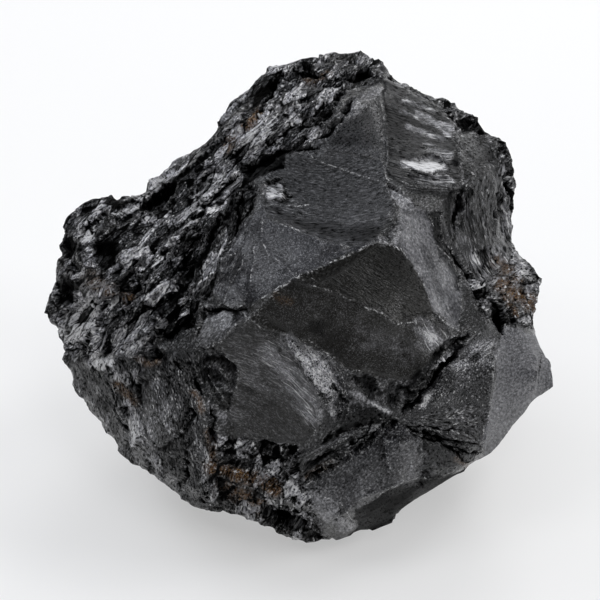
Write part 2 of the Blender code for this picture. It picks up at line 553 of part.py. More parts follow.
def carve(skin):
    """Cuts the scoops and the clefts, and raises the slate's layers and the rubble."""
    skin.normal_update()
    moves = []
    for vert in skin.verts:
        place = vert.co
        ahead = place.z - outline_out(place.y)
        if ahead > 0:
            move = carved_move(place, CLEFTS, SCOOPS, SLATE_ZONE, RUBBLE_ZONE) * min(1.0, ahead / FRONT_FADE)
        else:
            move = carved_move(place, BACK_CLEFTS, BACK_SCOOPS, BACK_SLATE, BACK_RUBBLE)
            move = (move + BACK_RELIEF * noise.noise(place / BACK_LUMP_SIZE)) * min(1.0, -ahead / BACK_FADE)
        moves.append(vert.normal * move)
    for vert, move in zip(skin.verts, moves):
        vert.co += move


def stand_on_flat(skin):
    """Cuts the underside flat at the floor's height, where the stone stands."""
    geometry = skin.verts[:] + skin.edges[:] + skin.faces[:]
    cut = bmesh.ops.bisect_plane(
        skin, geom=geometry, dist=1e-4, plane_co=(0, 0, 0), plane_no=(0, 0, -1), clear_outer=True)
    rim = [part for part in cut["geom_cut"] if isinstance(part, bmesh.types.BMEdge)]
    bmesh.ops.contextual_create(skin, geom=rim)
    bmesh.ops.triangulate(skin, faces=skin.faces[:])
    short = [edge for edge in skin.edges if edge.calc_length() < SHORTEST_EDGE]
    bmesh.ops.collapse(skin, edges=short, uvs=False)
    for vert in skin.verts:
        if abs(vert.co.z) < 1e-3:
            vert.co.z = 0.0
    bmesh.ops.recalc_face_normals(skin, faces=skin.faces)


def stone_skin():
    points = edge_points()
    fill_points(points)
    skin, fixed = joined_mesh(points)
    relax(skin, fixed)
    carve(skin)
    rise = math.pi / 2 - SIGHT_RISE
    upright = Matrix.Translation((0, 0, MIDDLE_HEIGHT)) @ Matrix.Rotation(rise, 4, "X")
    bmesh.ops.transform(skin, matrix=upright, verts=skin.verts)
    stand_on_flat(skin)
    return skin


def centre_on_origin(mesh):
    """Slides the stone so that its box is centred above the origin, and gives the slide in mm."""
    spread = np.array([vert.co for vert in mesh.vertices])
    middle = (spread.min(axis=0) + spread.max(axis=0)) / 2
    mesh.transform(Matrix.Translation((-middle[0], -middle[1], 0)))
    return -middle[0], -middle[1]


def main():
    for old in list(bpy.data.objects):
        bpy.data.objects.remove(old)
    skin = stone_skin()
    mesh = bpy.data.meshes.new("stone")
    skin.to_mesh(mesh)
    skin.free()
    slide = centre_on_origin(mesh)
    mesh.transform(Matrix.Scale(0.001, 4))
    stone = bpy.data.objects.new("stone", mesh)
    bpy.context.scene.collection.objects.link(stone)
    stone.data.materials.append(shungite())
    print(len(mesh.vertices), "corners", len(mesh.polygons), "triangles, slid", slide)


def shungite():
    material = bpy.data.materials.new("shungite")
    material.use_nodes = True
    shader = material.node_tree.nodes["Principled BSDF"]
    shader.inputs["Base Color"].default_value = (0.022, 0.024, 0.028, 1)
    shader.inputs["Roughness"].default_value = 0.32
    shader.inputs["Metallic"].default_value = 0.0
    return material


main()
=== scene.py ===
import math

import bmesh
import bpy
import numpy as np
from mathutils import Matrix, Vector, noise


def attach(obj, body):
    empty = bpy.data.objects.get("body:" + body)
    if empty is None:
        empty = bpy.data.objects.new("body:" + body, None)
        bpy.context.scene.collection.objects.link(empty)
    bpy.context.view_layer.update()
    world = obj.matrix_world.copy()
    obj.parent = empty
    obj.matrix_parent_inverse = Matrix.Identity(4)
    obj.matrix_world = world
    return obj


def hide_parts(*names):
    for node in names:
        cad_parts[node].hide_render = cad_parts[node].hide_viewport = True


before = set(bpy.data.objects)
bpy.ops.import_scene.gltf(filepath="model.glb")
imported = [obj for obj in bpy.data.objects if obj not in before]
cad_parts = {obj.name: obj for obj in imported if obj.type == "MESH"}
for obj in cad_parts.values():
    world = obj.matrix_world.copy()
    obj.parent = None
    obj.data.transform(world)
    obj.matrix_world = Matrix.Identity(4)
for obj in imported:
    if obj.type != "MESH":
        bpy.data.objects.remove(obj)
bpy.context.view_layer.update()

# The stone is sighted from one station. A grid of steps lies on the plane through its middle that faces
# the station, with the grid's middle on the stone's. Every mark on the front is placed by grid steps.
sight = {
    "rise": math.radians(38.0),
    "station": 400.0,  # mm from the stone's middle
    "middle": (0.17, -3.21, 40.5),  # mm
    "stepsPerMm": 5.0,
    "gridMiddle": 300.0,
}
towardsStation = np.array([0, -math.cos(sight["rise"]), math.sin(sight["rise"])])


def toSight(places):  # world mm to (right, up, out) mm, out being towards the station
    turned = places - np.array(sight["middle"])
    lift, lean = math.sin(sight["rise"]), math.cos(sight["rise"])
    up = lift * turned[:, 1] + lean * turned[:, 2]
    out = lift * turned[:, 2] - lean * turned[:, 1]
    return np.stack([turned[:, 0], up, out], axis=1)


def toGrid(sighted):  # (right, up, out) mm to grid steps
    reach = sight["station"] / (sight["station"] - sighted[:, 2]) * sight["stepsPerMm"]
    middle = sight["gridMiddle"]
    return np.stack([middle + sighted[:, 0] * reach, middle - sighted[:, 1] * reach], axis=1)


# For the camera, the floor and the lights.
studio = {
    "focalLength": 120.0,
    "sensorWidth": 36.0,
    "nearestSeen": 0.01,  # m
    "floorSize": 6.0,
    "floorColour": "#B3B3B3",
    "floorRoughness": 0.9,
    "floorSpecular": 0.1,
    "floorGlow": 0.42,
    "worldStrength": 0.17,
    "wattsPerRadiance": math.pi,  # for a lamp of a square metre
    "lights": {  # azimuth and rise in degrees, distance, width and height in m, radiance, colour
        "overhead": ((200, 80), 1.1, (1.35, 1.25), 0.95, "#F2F6FF"),
        "right": ((84, 34), 1.0, (0.28, 0.36), 8.0, "#FFFFFF"),
        "rightHigh": ((112, 58), 1.0, (0.28, 0.28), 7.0, "#FFFFFF"),
        "back": ((160, 34), 1.0, (0.40, 0.30), 8.0, "#FFFFFF"),
        "left": ((240, 46), 1.0, (0.42, 0.40), 5.0, "#F6F9FF"),
        "leftHigh": ((292, 58), 1.0, (0.26, 0.26), 5.0, "#FFFFFF"),
        "frontHigh": ((22, 62), 1.0, (0.26, 0.26), 4.0, "#FFFFFF"),
        "lowLeft": ((322, 13), 1.0, (0.30, 0.20), 4.0, "#FFFFFF"),
    },
}


def hexColour(code):  # an sRGB hex code as linear red, green, blue and alpha
    parts = [int(code[i:i + 2], 16) / 255 for i in (1, 3, 5)]
    linear = [part / 12.92 if part <= 0.04045 else ((part + 0.055) / 1.055) ** 2.4 for part in parts]
    return (*linear, 1.0)


def addNode(tree, kind, inputs=(), output=0, **settings):  # inputs by name or by place; returns one output
    node = tree.nodes.new(kind)
    for name, value in settings.items():
        setattr(node, name, value)
    for key, value in inputs.items() if isinstance(inputs, dict) else enumerate(inputs):
        if isinstance(value, bpy.types.NodeSocket):
            tree.links.new(value, node.inputs[key])
        else:
            node.inputs[key].default_value = value
    return node.outputs[output]


def addCamera():
    lens = bpy.data.cameras.new("camera")
    lens.sensor_width = studio["sensorWidth"]
    lens.lens = studio["focalLength"]
    lens.clip_start = studio["nearestSeen"]
    camera = bpy.data.objects.new("camera", lens)
    towards = Vector(towardsStation)
    camera.location = (Vector(sight["middle"]) + towards * sight["station"]) / 1000
    camera.rotation_euler = (-towards).to_track_quat("-Z", "Y").to_euler()
    bpy.context.scene.collection.objects.link(camera)
    bpy.context.scene.camera = camera


def addFloor():
    half = studio["floorSize"] / 2
    corners = [(-half, -half, 0), (half, -half, 0), (half, half, 0), (-half, half, 0)]
    mesh = bpy.data.meshes.new("floor")
    mesh.from_pydata(corners, [], [(0, 1, 2, 3)])
    floor = bpy.data.objects.new("floor", mesh)
    bpy.context.scene.collection.objects.link(floor)
    paint = bpy.data.materials.new("backlitOpalSheet")
    paint.use_nodes = True
    shader = paint.node_tree.nodes["Principled BSDF"]
    shader.inputs["Base Color"].default_value = hexColour(studio["floorColour"])
    shader.inputs["Roughness"].default_value = studio["floorRoughness"]
    shader.inputs["Specular IOR Level"].default_value = studio["floorSpecular"]
    shader.inputs["Emission Color"].default_value = (1, 1, 1, 1)
    shader.inputs["Emission Strength"].default_value = studio["floorGlow"]
    mesh.materials.append(paint)


def addLights():
    world = bpy.data.worlds.new("paleRoom")
    bpy.context.scene.world = world
    world.use_nodes = True
    backdrop = world.node_tree.nodes["Background"]
    backdrop.inputs["Color"].default_value = (1, 1, 1, 1)
    backdrop.inputs["Strength"].default_value = studio["worldStrength"]
    for name, (angles, distance, size, radiance, colour) in studio["lights"].items():
        lamp = bpy.data.lights.new(name, "AREA")
        lamp.shape = "RECTANGLE"
        lamp.size, lamp.size_y = size
        lamp.energy = radiance * size[0] * size[1] * studio["wattsPerRadiance"]
        lamp.color = hexColour(colour)[:3]
        turn, rise = (math.radians(angle) for angle in angles)
        towards = Vector((math.sin(turn) * math.cos(rise), -math.cos(turn) * math.cos(rise), math.sin(rise)))
        box = bpy.data.objects.new(name, lamp)
        box.location = towards * distance + Vector((0, 0, sight["middle"][2] / 1000))
        box.rotation_euler = (-towards).to_track_quat("-Z", "Y").to_euler()
        bpy.context.scene.collection.objects.link(box)


# The marks on the stone's front follow, in grid steps.
# Sharp edges between breaks, white in dots of crushed powder and painted highlight: the line, and how white
# it is.
crushedEdges = {
    "starCrumbsHigh": ([(322, 354), (334, 362), (344, 368), (352, 382)], 0.7),
    "spine": ([(253, 306), (260, 301), (267, 296), (273, 293), (280, 288), (286, 285), (292, 280), (301, 276),
        (309, 273), (319, 270), (328, 265), (338, 261), (347, 256), (354, 253), (360, 250), (369, 246),
        (378, 243), (381, 241)], 1.0),
    "seam": ([(298, 278), (306, 281), (311, 285), (318, 287), (328, 290), (340, 294), (347, 299), (355, 301),
        (363, 305), (368, 309), (380, 312), (384, 317), (391, 320), (396, 324), (411, 322), (419, 324),
        (430, 320)], 0.8),
    "brow": ([(244, 313), (249, 319), (255, 323), (261, 328), (272, 329), (282, 332), (290, 336), (300, 339),
        (309, 340), (315, 345), (322, 351), (331, 355), (338, 361), (342, 367), (350, 370), (358, 370)], 0.6),
    "browLeft": ([(249, 320), (241, 323), (235, 328), (229, 333), (226, 337), (222, 342), (218, 347)], 0.4),
    "bowlLip": ([(262, 204), (269, 220), (291, 229), (299, 231), (306, 235), (314, 238), (323, 244),
        (333, 245), (349, 248)], 0.6),
    "bowlRight": ([(385, 175), (390, 190), (396, 202), (388, 215), (396, 228), (390, 233), (380, 242)], 0.7),
    "bowlTop": ([(383, 102), (383, 130), (388, 150), (385, 175)], 0.35),
    "foldInner": ([(255, 249), (253, 269), (251, 287), (247, 295), (245, 304)], 0.6),
    "foldMiddle": ([(244, 258), (242, 267), (237, 274), (232, 282), (224, 303)], 0.6),
    "foldOuter": ([(262, 193), (250, 205), (240, 225), (233, 245), (222, 273), (211, 294)], 0.5),
    "plumSide": ([(296, 278), (291, 272), (283, 265), (270, 256), (262, 240), (262, 222)], 0.5),
    "cheek": ([(381, 241), (401, 250), (407, 260), (414, 269), (419, 277), (426, 292), (433, 310), (445, 325),
        (457, 331)], 0.6),
    "pierTop": ([(385, 185), (399, 194), (407, 201), (415, 208), (430, 212), (442, 210)], 0.5),
    "pierRight": ([(442, 210), (440, 222), (440, 231), (443, 240), (447, 245), (452, 251), (456, 270),
        (460, 290), (460, 315), (457, 331)], 0.7),
    "pierRib": ([(425, 212), (430, 219), (432, 233), (433, 244), (442, 250), (452, 260)], 0.5),
    "ledgeLip": ([(390, 180), (410, 185), (430, 190), (449, 190), (460, 182)], 0.5),
    "patchLip": ([(400, 163), (408, 170), (419, 176), (435, 176), (446, 166), (439, 159)], 0.6),
    "shellTop": ([(383, 80), (393, 84), (401, 88), (409, 94), (420, 99), (431, 105), (441, 110),
        (450, 116)], 0.5),
    "brink": ([(450, 116), (452, 130), (455, 145), (460, 165), (457, 182)], 0.4),
    "cornerEdge": ([(500, 337), (498, 354), (494, 361), (492, 373), (492, 398), (488, 411), (484, 424),
        (483, 440)], 0.7),
    "wedgeSill": ([(473, 334), (465, 342), (458, 350), (453, 357), (447, 365), (440, 374), (434, 384),
        (425, 394), (415, 405)], 0.6),
    "wedgeGleam": ([(442, 361), (434, 370), (425, 382), (412, 395)], 0.8),
    "wedgeTop": ([(452, 335), (450, 345), (442, 358), (431, 368), (421, 380), (410, 388)], 0.4),
    "starCore": ([(378, 418), (395, 417), (403, 419), (411, 422)], 0.9),
    "slotSill": ([(395, 422), (377, 433), (360, 444), (345, 456), (328, 468), (311, 480), (303, 487)], 0.5),
    "slotBank": ([(365, 426), (345, 440), (326, 450), (308, 460)], 0.4),
    "footRib": ([(393, 463), (399, 470), (404, 480)], 0.6),
    "footEdge": ([(465, 468), (453, 470), (439, 477), (425, 479), (412, 482), (396, 483), (380, 493),
        (367, 503), (354, 510)], 1.0),
    "footLeft": ([(301, 489), (310, 493), (328, 498), (340, 502), (344, 509), (353, 520)], 0.7),
    "rustLip": ([(259, 479), (269, 482), (280, 485), (287, 490), (297, 500), (301, 510)], 0.6),
    "caveLip": ([(269, 498), (277, 503), (285, 510), (295, 514), (303, 519), (310, 524), (319, 531),
        (324, 538)], 0.6),
    "stripLeft": ([(285, 334), (293, 352), (300, 365), (308, 375), (318, 385), (325, 398), (322, 420),
        (310, 440)], 0.4),
    "stripRight": ([(305, 345), (318, 352), (330, 360), (340, 370), (345, 388), (350, 405), (345, 420),
        (330, 435)], 0.5),
    "eyeLip": ([(200, 352), (212, 348), (224, 352), (233, 362), (240, 375), (236, 388)], 0.4),
    "eyeFold": ([(199, 364), (206, 372), (213, 382), (220, 393), (228, 406)], 0.6),
    "cliff": ([(204, 398), (207, 437), (207, 456), (208, 475), (208, 486), (205, 496)], 0.5),
    "cliffTop": ([(200, 347), (197, 360), (202, 375), (200, 390), (204, 398)], 0.4),
    "hollowRib": ([(222, 400), (226, 410), (235, 418)], 0.5),
    "tileLeft": ([(203, 308), (207, 315), (200, 325), (193, 340)], 0.4),
    "tileRight": ([(240, 310), (248, 318), (235, 328), (222, 342)], 0.4),
    "lobeCrest": ([(78, 228), (90, 222), (103, 210), (115, 215), (128, 213), (138, 208), (150, 195),
        (160, 183)], 0.5),
    "laminaLong": ([(168, 240), (181, 232), (194, 223), (207, 213), (219, 204)], 0.5),
    "kneeRib": ([(176, 361), (182, 373), (190, 392), (199, 410)], 0.3),
    "nubStreak": ([(503, 297), (509, 305), (515, 315)], 0.7),
    "bowlDotsHigh": ([(313, 157), (322, 162), (335, 168)], 0.6),
    "bowlDotsLow": ([(335, 168), (357, 175), (380, 182)], 0.6),
    "bowlDotsLeft": ([(262, 206), (278, 206), (296, 207), (308, 205)], 0.8),
}

# Cracks and slots: the line, half its width and its depth in mm.
cracks = {
    "spineGap": ([(200, 309), (222, 309), (236, 311), (250, 308)], 0.5, 0.7),
    "slotDeep": ([(395, 421), (382, 426), (375, 434), (366, 440), (355, 446), (345, 454), (335, 460),
        (326, 467), (318, 472), (310, 478), (303, 484)], 1.1, 2.0),
    "slotFine": ([(374, 421), (365, 434), (354, 442), (340, 449), (326, 456), (311, 463)], 0.5, 0.8),
    "wedgeDeep": ([(462, 338), (452, 350), (444, 363), (434, 376), (424, 388), (414, 399),
        (404, 411)], 1.2, 2.2),
    "starEast": ([(405, 427), (425, 425), (442, 430), (455, 430)], 0.5, 0.6),
    "starLow": ([(405, 426), (420, 433), (442, 441), (460, 443), (479, 445)], 0.6, 0.9),
    "starDown": ([(410, 432), (425, 440), (439, 443), (450, 449), (457, 454), (465, 460)], 0.6, 0.8),
    "starHem": ([(452, 448), (465, 451), (479, 452)], 0.5, 0.7),
    "bowlBoundary": ([(320, 150), (300, 149), (285, 151), (270, 158), (262, 163), (250, 170), (238, 176),
        (228, 184), (215, 197), (203, 214), (191, 220)], 0.8, 1.3),
    "slateTurn": ([(252, 185), (243, 192), (238, 205), (238, 225), (235, 237)], 0.6, 0.9),
    "slateLong": ([(138, 274), (149, 261), (155, 254), (166, 249), (180, 238), (196, 226),
        (208, 214)], 0.9, 1.4),
    "slateHook": ([(100, 308), (110, 301), (122, 301), (132, 299), (135, 288), (137, 277),
        (143, 269)], 1.1, 1.7),
    "slateMiddle": ([(170, 299), (178, 288), (180, 277), (185, 267), (184, 254), (191, 246),
        (199, 238)], 0.7, 1.1),
    "slateRight": ([(187, 269), (194, 264), (203, 256), (205, 245), (213, 235), (219, 226)], 0.6, 0.9),
    "slateHem": ([(199, 313), (193, 323), (181, 329), (168, 336), (153, 340), (151, 352)], 0.7, 1.0),
    "crownCrack": ([(282, 75), (278, 82), (272, 92), (266, 100), (262, 108), (255, 116)], 0.7, 1.1),
    "crownSeam": ([(345, 92), (335, 98), (325, 103), (315, 112), (303, 120), (293, 127),
        (285, 134)], 0.9, 1.3),
    "crownSeamLow": ([(353, 100), (346, 110), (341, 120), (333, 130), (322, 138)], 0.8, 1.2),
    "crownLedge": ([(335, 80), (350, 78), (358, 76), (368, 71), (375, 77)], 0.8, 1.4),
    "fluteCrack": ([(460, 190), (459, 200), (457, 215), (455, 228)], 0.8, 1.3),
    "flankCrack": ([(500, 171), (505, 189), (507, 194)], 0.6, 0.9),
    "flankCrackLow": ([(497, 193), (497, 219), (501, 226), (503, 233)], 0.6, 0.9),
    "flankLow": ([(447, 245), (458, 262), (470, 280), (480, 300), (484, 315)], 0.5, 0.7),
    "rustCrack": ([(490, 301), (498, 306), (502, 312), (500, 322), (502, 334)], 1.1, 1.9),
    "kneeCrack": ([(176, 361), (182, 373)], 0.5, 0.8),
    "kneeCrackLow": ([(195, 377), (199, 386), (203, 396)], 0.5, 0.8),
    "slit": ([(190, 409), (193, 416), (189, 424)], 0.8, 1.3),
    "longFissure": ([(187, 450), (186, 461), (187, 472), (187, 483)], 0.5, 0.8),
    "cliffFoot": ([(211, 400), (214, 420), (213, 441), (211, 455)], 0.6, 0.9),
    "darkPit": ([(151, 349), (159, 350), (158, 358), (151, 357)], 1.0, 1.5),
    "crownHole": ([(299, 73), (307, 69), (318, 77)], 1.1, 1.8),
    "kneeRim": ([(84, 356), (100, 374), (114, 391), (116, 412), (128, 431), (143, 447),
        (154, 462)], 0.45, 0.5),
    "kneeSeam": ([(189, 452), (188, 466), (185, 484)], 0.45, 0.6),
    "kneePit": ([(209, 430), (213, 434), (213, 441)], 0.9, 1.4),
    "cave": ([(268, 512), (280, 520), (294, 521), (304, 527)], 1.5, 2.2),
    "lobeSplit": ([(78, 231), (95, 222), (103, 213), (116, 216)], 0.7, 1.0),
    "nicheFloor": ([(150, 205), (160, 196), (172, 188)], 1.2, 1.5),
    "chipLine": ([(101, 318), (104, 330), (101, 345), (92, 352)], 0.5, 0.7),
    "chipLineLow": ([(64, 352), (78, 348), (90, 351), (104, 360)], 0.5, 0.7),
    "tipLine": ([(540, 353), (539, 370), (537, 388)], 0.25, 0.2),
}

# Streaks in the breaks. They run in arcs about a middle, as rays from a point, or as lines at an angle in
# degrees up from the right, which may bend down after their start. Then their spacing, length and height in
# mm, the spacing and the height of the coarser ribs among them, and the outline that they fill.
flows = {
    "slateMain": ({"angle": 45}, (0.5, 4.0, 0.22), (1.6, 0.17), [(383, 80), (345, 92), (322, 138), (300, 149),
        (285, 151), (262, 163), (240, 178), (225, 190), (200, 215), (120, 280), (40, 300), (30, 180),
        (140, 150), (220, 80), (300, 30), (385, 40)]),
    "slateLow": ({"angle": 50}, (0.5, 4.0, 0.22), (1.6, 0.17), [(40, 290), (100, 300), (140, 290), (205, 215),
        (225, 225), (213, 290), (193, 323), (150, 352), (110, 385), (40, 372)]),
    "fold": ({"angle": 64}, (0.6, 5.0, 0.13), (2.0, 0.4), [(240, 178), (262, 185), (258, 200), (245, 245),
        (224, 303), (205, 303), (188, 296), (200, 245), (222, 210)]),
    "knee": ({"angle": -77}, (0.6, 5.0, 0.09), (2.4, 0.3), [(60, 365), (150, 352), (200, 350), (208, 400),
        (210, 500), (170, 520), (60, 460)]),
    "shell": ({"angle": -17, "start": (245, 352), "bend": 0.018}, (0.45, 4.5, 0.14), (1.5, 0.12), [(218, 347),
        (245, 322), (275, 332), (290, 350), (305, 370), (318, 395), (319, 428), (300, 442), (240, 440),
        (222, 400), (238, 380)]),
    "brightStrip": ({"angle": -52}, (0.5, 2.2, 0.16), (1.4, 0.3), [(285, 335), (320, 350), (345, 372),
        (352, 405), (330, 432), (320, 400), (300, 365)]),
    "brightShell": ({"middle": (458, -50)}, (0.5, 5.0, 0.2), (2.6, 0.3), [(383, 80), (455, 112), (457, 150),
        (462, 190), (440, 196), (410, 190), (385, 178), (383, 110)]),
    "bowlHigh": ({"angle": 35}, (0.6, 3.0, 0.1), (2.4, 0.2), [(322, 140), (340, 118), (352, 98), (378, 90),
        (384, 130), (384, 160), (330, 160)]),
    "bowlFloor": ({"middle": (325, 40)}, (0.5, 5.0, 0.09), (3.0, 0.06), [(262, 165), (320, 150), (384, 160),
        (398, 215), (380, 242), (349, 248), (306, 235), (265, 212)]),
    "flutes": ({"middle": (600, 203)}, (0.7, 12.0, 0.22), (2.3, 0.4), [(448, 190), (466, 190), (478, 178),
        (505, 160), (512, 235), (510, 262), (480, 285), (466, 262), (448, 245)]),
    "pierLow": ({"angle": -70}, (0.7, 5.0, 0.02), (3.0, 0.08), [(402, 215), (440, 215), (460, 290),
        (458, 331), (433, 310), (400, 250)]),
    "star": ({"from": (398, 419)}, (0.8, 6.0, 0.13), (1.8, 0.3), [(405, 418), (480, 395), (482, 446),
        (430, 450), (408, 432)]),
    "cornerHigh": ({"angle": 47}, (0.6, 2.6, 0.08), (2.0, 0.1), [(410, 414), (453, 357), (485, 330),
        (498, 340), (490, 400)]),
    "darkHigh": ({"angle": -32}, (0.6, 3.0, 0.06), (3.0, 0.04), [(318, 285), (381, 243), (401, 250),
        (426, 292), (433, 312), (396, 324)]),
    "darkLow": ({"angle": -24}, (0.55, 2.0, 0.03), (3.0, 0.04), [(250, 306), (297, 280), (380, 312),
        (400, 324), (430, 322), (452, 335), (410, 380), (342, 367), (300, 340)]),
    "darkSpeck": ({"angle": -56}, (0.5, 2.5, 0.16), (2.0, 0.1), [(402, 316), (430, 318), (452, 334),
        (444, 354), (426, 366), (408, 344)]),
    "plum": ({"angle": 18}, (0.6, 2.5, 0.03), (3.0, 0.05), [(262, 210), (306, 235), (349, 248), (380, 242),
        (298, 277), (255, 304), (235, 290), (250, 240)]),
    "laminae": ({"angle": 33}, (0.8, 8.0, 0.28), (1.5, 0.5), [(296, 455), (345, 428), (372, 422), (362, 440),
        (318, 472), (300, 484), (285, 470)]),
    "footFan": ({"from": (398, 484)}, (0.7, 4.0, 0.1), (1.5, 0.15), [(396, 483), (420, 478), (437, 478),
        (425, 490), (405, 494)]),
}

# Whole breaks: how gritty they are, how far they lean to the cool or the warm side (less than 0), what they
# are made of, how much painted light they get (painted highlight above 0, painted shade below), and their
# outline. What isn't given is 0.
breaks = {
    "slate": ({"grit": 0.7, "slate": 1.0}, [(383, 80), (345, 92), (322, 138), (300, 149), (285, 151),
        (262, 163), (240, 178), (225, 200), (222, 225), (213, 250), (200, 300), (193, 323), (168, 336),
        (153, 340), (150, 352), (110, 362), (50, 372), (30, 320), (40, 180), (140, 150), (220, 80), (300, 30),
        (385, 40)]),
    "folds": ({"grit": 0.7, "tone": 0.2, "slate": 0.5, "gleam": -0.35}, [(240, 178), (262, 184), (257, 200),
        (249, 214), (236, 236), (228, 262), (214, 290), (206, 304), (200, 300), (213, 250), (222, 225),
        (225, 200)]),
    "knee": ({"grit": 0.65, "gleam": -0.2, "rubble": 0.38}, [(50, 365), (110, 358), (150, 352), (200, 350),
        (203, 400), (208, 440), (206, 500), (170, 520), (60, 460)]),
    "undercut": ({"grit": 1.0, "tone": -0.4, "rubble": 1.0}, [(206, 432), (300, 442), (303, 487), (312, 505),
        (330, 550), (200, 520)]),
    "flank": ({"grit": 0.6, "gleam": -0.1, "rubble": 0.2}, [(450, 100), (530, 100), (530, 260), (500, 250),
        (480, 235), (455, 180)]),
    "rim": ({"grit": 0.9, "tone": -0.1, "rubble": 1.0}, [(388, 78), (420, 98), (446, 113), (454, 132),
        (500, 134), (498, 160), (504, 195), (500, 235), (540, 260), (560, 200), (520, 100), (400, 60)]),
    "nub": ({"grit": 1.0, "tone": -0.2, "rubble": 0.9}, [(470, 250), (500, 245), (560, 260), (550, 330),
        (505, 325), (480, 318), (468, 280)]),
    "bowl": ({"grit": 0.42, "tone": 0.4, "gleam": -0.2}, [(320, 140), (340, 120), (352, 100), (378, 92),
        (383, 130), (388, 150), (385, 175), (396, 202), (388, 215), (380, 242), (349, 248), (306, 235),
        (269, 220), (258, 187), (285, 155)]),
    "plum": ({"grit": 0.42, "tone": 0.8, "gleam": -0.1}, [(262, 204), (269, 220), (306, 235), (349, 248),
        (380, 242), (338, 261), (298, 277), (255, 304), (224, 303), (213, 290), (235, 237)]),
    "darkHigh": ({"grit": 0.25, "tone": -0.9, "gleam": -0.45}, [(299, 278), (330, 265), (350, 253),
        (381, 243), (401, 250), (414, 269), (426, 292), (433, 310), (431, 318), (411, 321), (396, 324),
        (380, 312), (347, 299), (318, 287)]),
    "darkLow": ({"grit": 0.3, "tone": -0.9, "gleam": -0.15}, [(250, 306), (297, 280), (318, 287), (347, 299),
        (380, 312), (400, 324), (433, 318), (452, 335), (440, 350), (425, 365), (410, 380), (380, 378),
        (342, 367), (321, 351), (300, 340), (271, 330), (249, 319)]),
    "pier": ({"grit": 0.2, "tone": 0.7, "satin": 0.6, "gleam": 0.9}, [(402, 200), (425, 210), (432, 233),
        (442, 250), (455, 269), (460, 290), (457, 331), (433, 310), (419, 277), (401, 250), (398, 222)]),
    "shellBreak": ({"grit": 0.3, "tone": -0.6, "gleam": 0.1}, [(218, 347), (249, 320), (285, 334), (305, 370),
        (320, 400), (318, 430), (300, 445), (215, 435), (222, 400), (238, 380)]),
    "strip": ({"grit": 1.0, "rubble": 0.6}, [(285, 337), (305, 345), (318, 352), (330, 360), (338, 372),
        (345, 392), (350, 406), (338, 420), (322, 400), (306, 374), (292, 352)]),
    "nook": ({"grit": 1.0, "tone": 0.1, "rubble": 0.25}, [(255, 190), (266, 179), (281, 178), (289, 190),
        (296, 203), (282, 205), (266, 202)]),
    "shellCap": ({"grit": 0.4, "tone": 0.2, "gleam": -0.5}, [(383, 80), (400, 88), (441, 110), (452, 130),
        (460, 165), (457, 182), (449, 190), (410, 186), (388, 178), (388, 150), (383, 130)]),
    "corner": ({"grit": 0.6, "tone": 0.1}, [(408, 415), (434, 384), (453, 357), (473, 334), (485, 330),
        (499, 340), (491, 398), (482, 446), (440, 430), (410, 422)]),
    "smoothEnd": ({"grit": 0.3, "tone": 0.9, "satin": 1.0, "gleam": 0.75}, [(505, 325), (560, 345),
        (560, 390), (485, 460), (481, 446), (492, 398), (499, 340)]),
    "foot": ({"grit": 0.45, "tone": 0.5, "gleam": 0.05}, [(303, 487), (350, 450), (395, 422), (424, 445),
        (430, 459), (425, 479), (396, 483), (354, 510), (325, 498)]),
    "footHem": ({"grit": 0.4, "tone": 0.1, "gleam": -0.85}, [(354, 510), (396, 483), (465, 468), (490, 452),
        (420, 520), (345, 550)]),
}
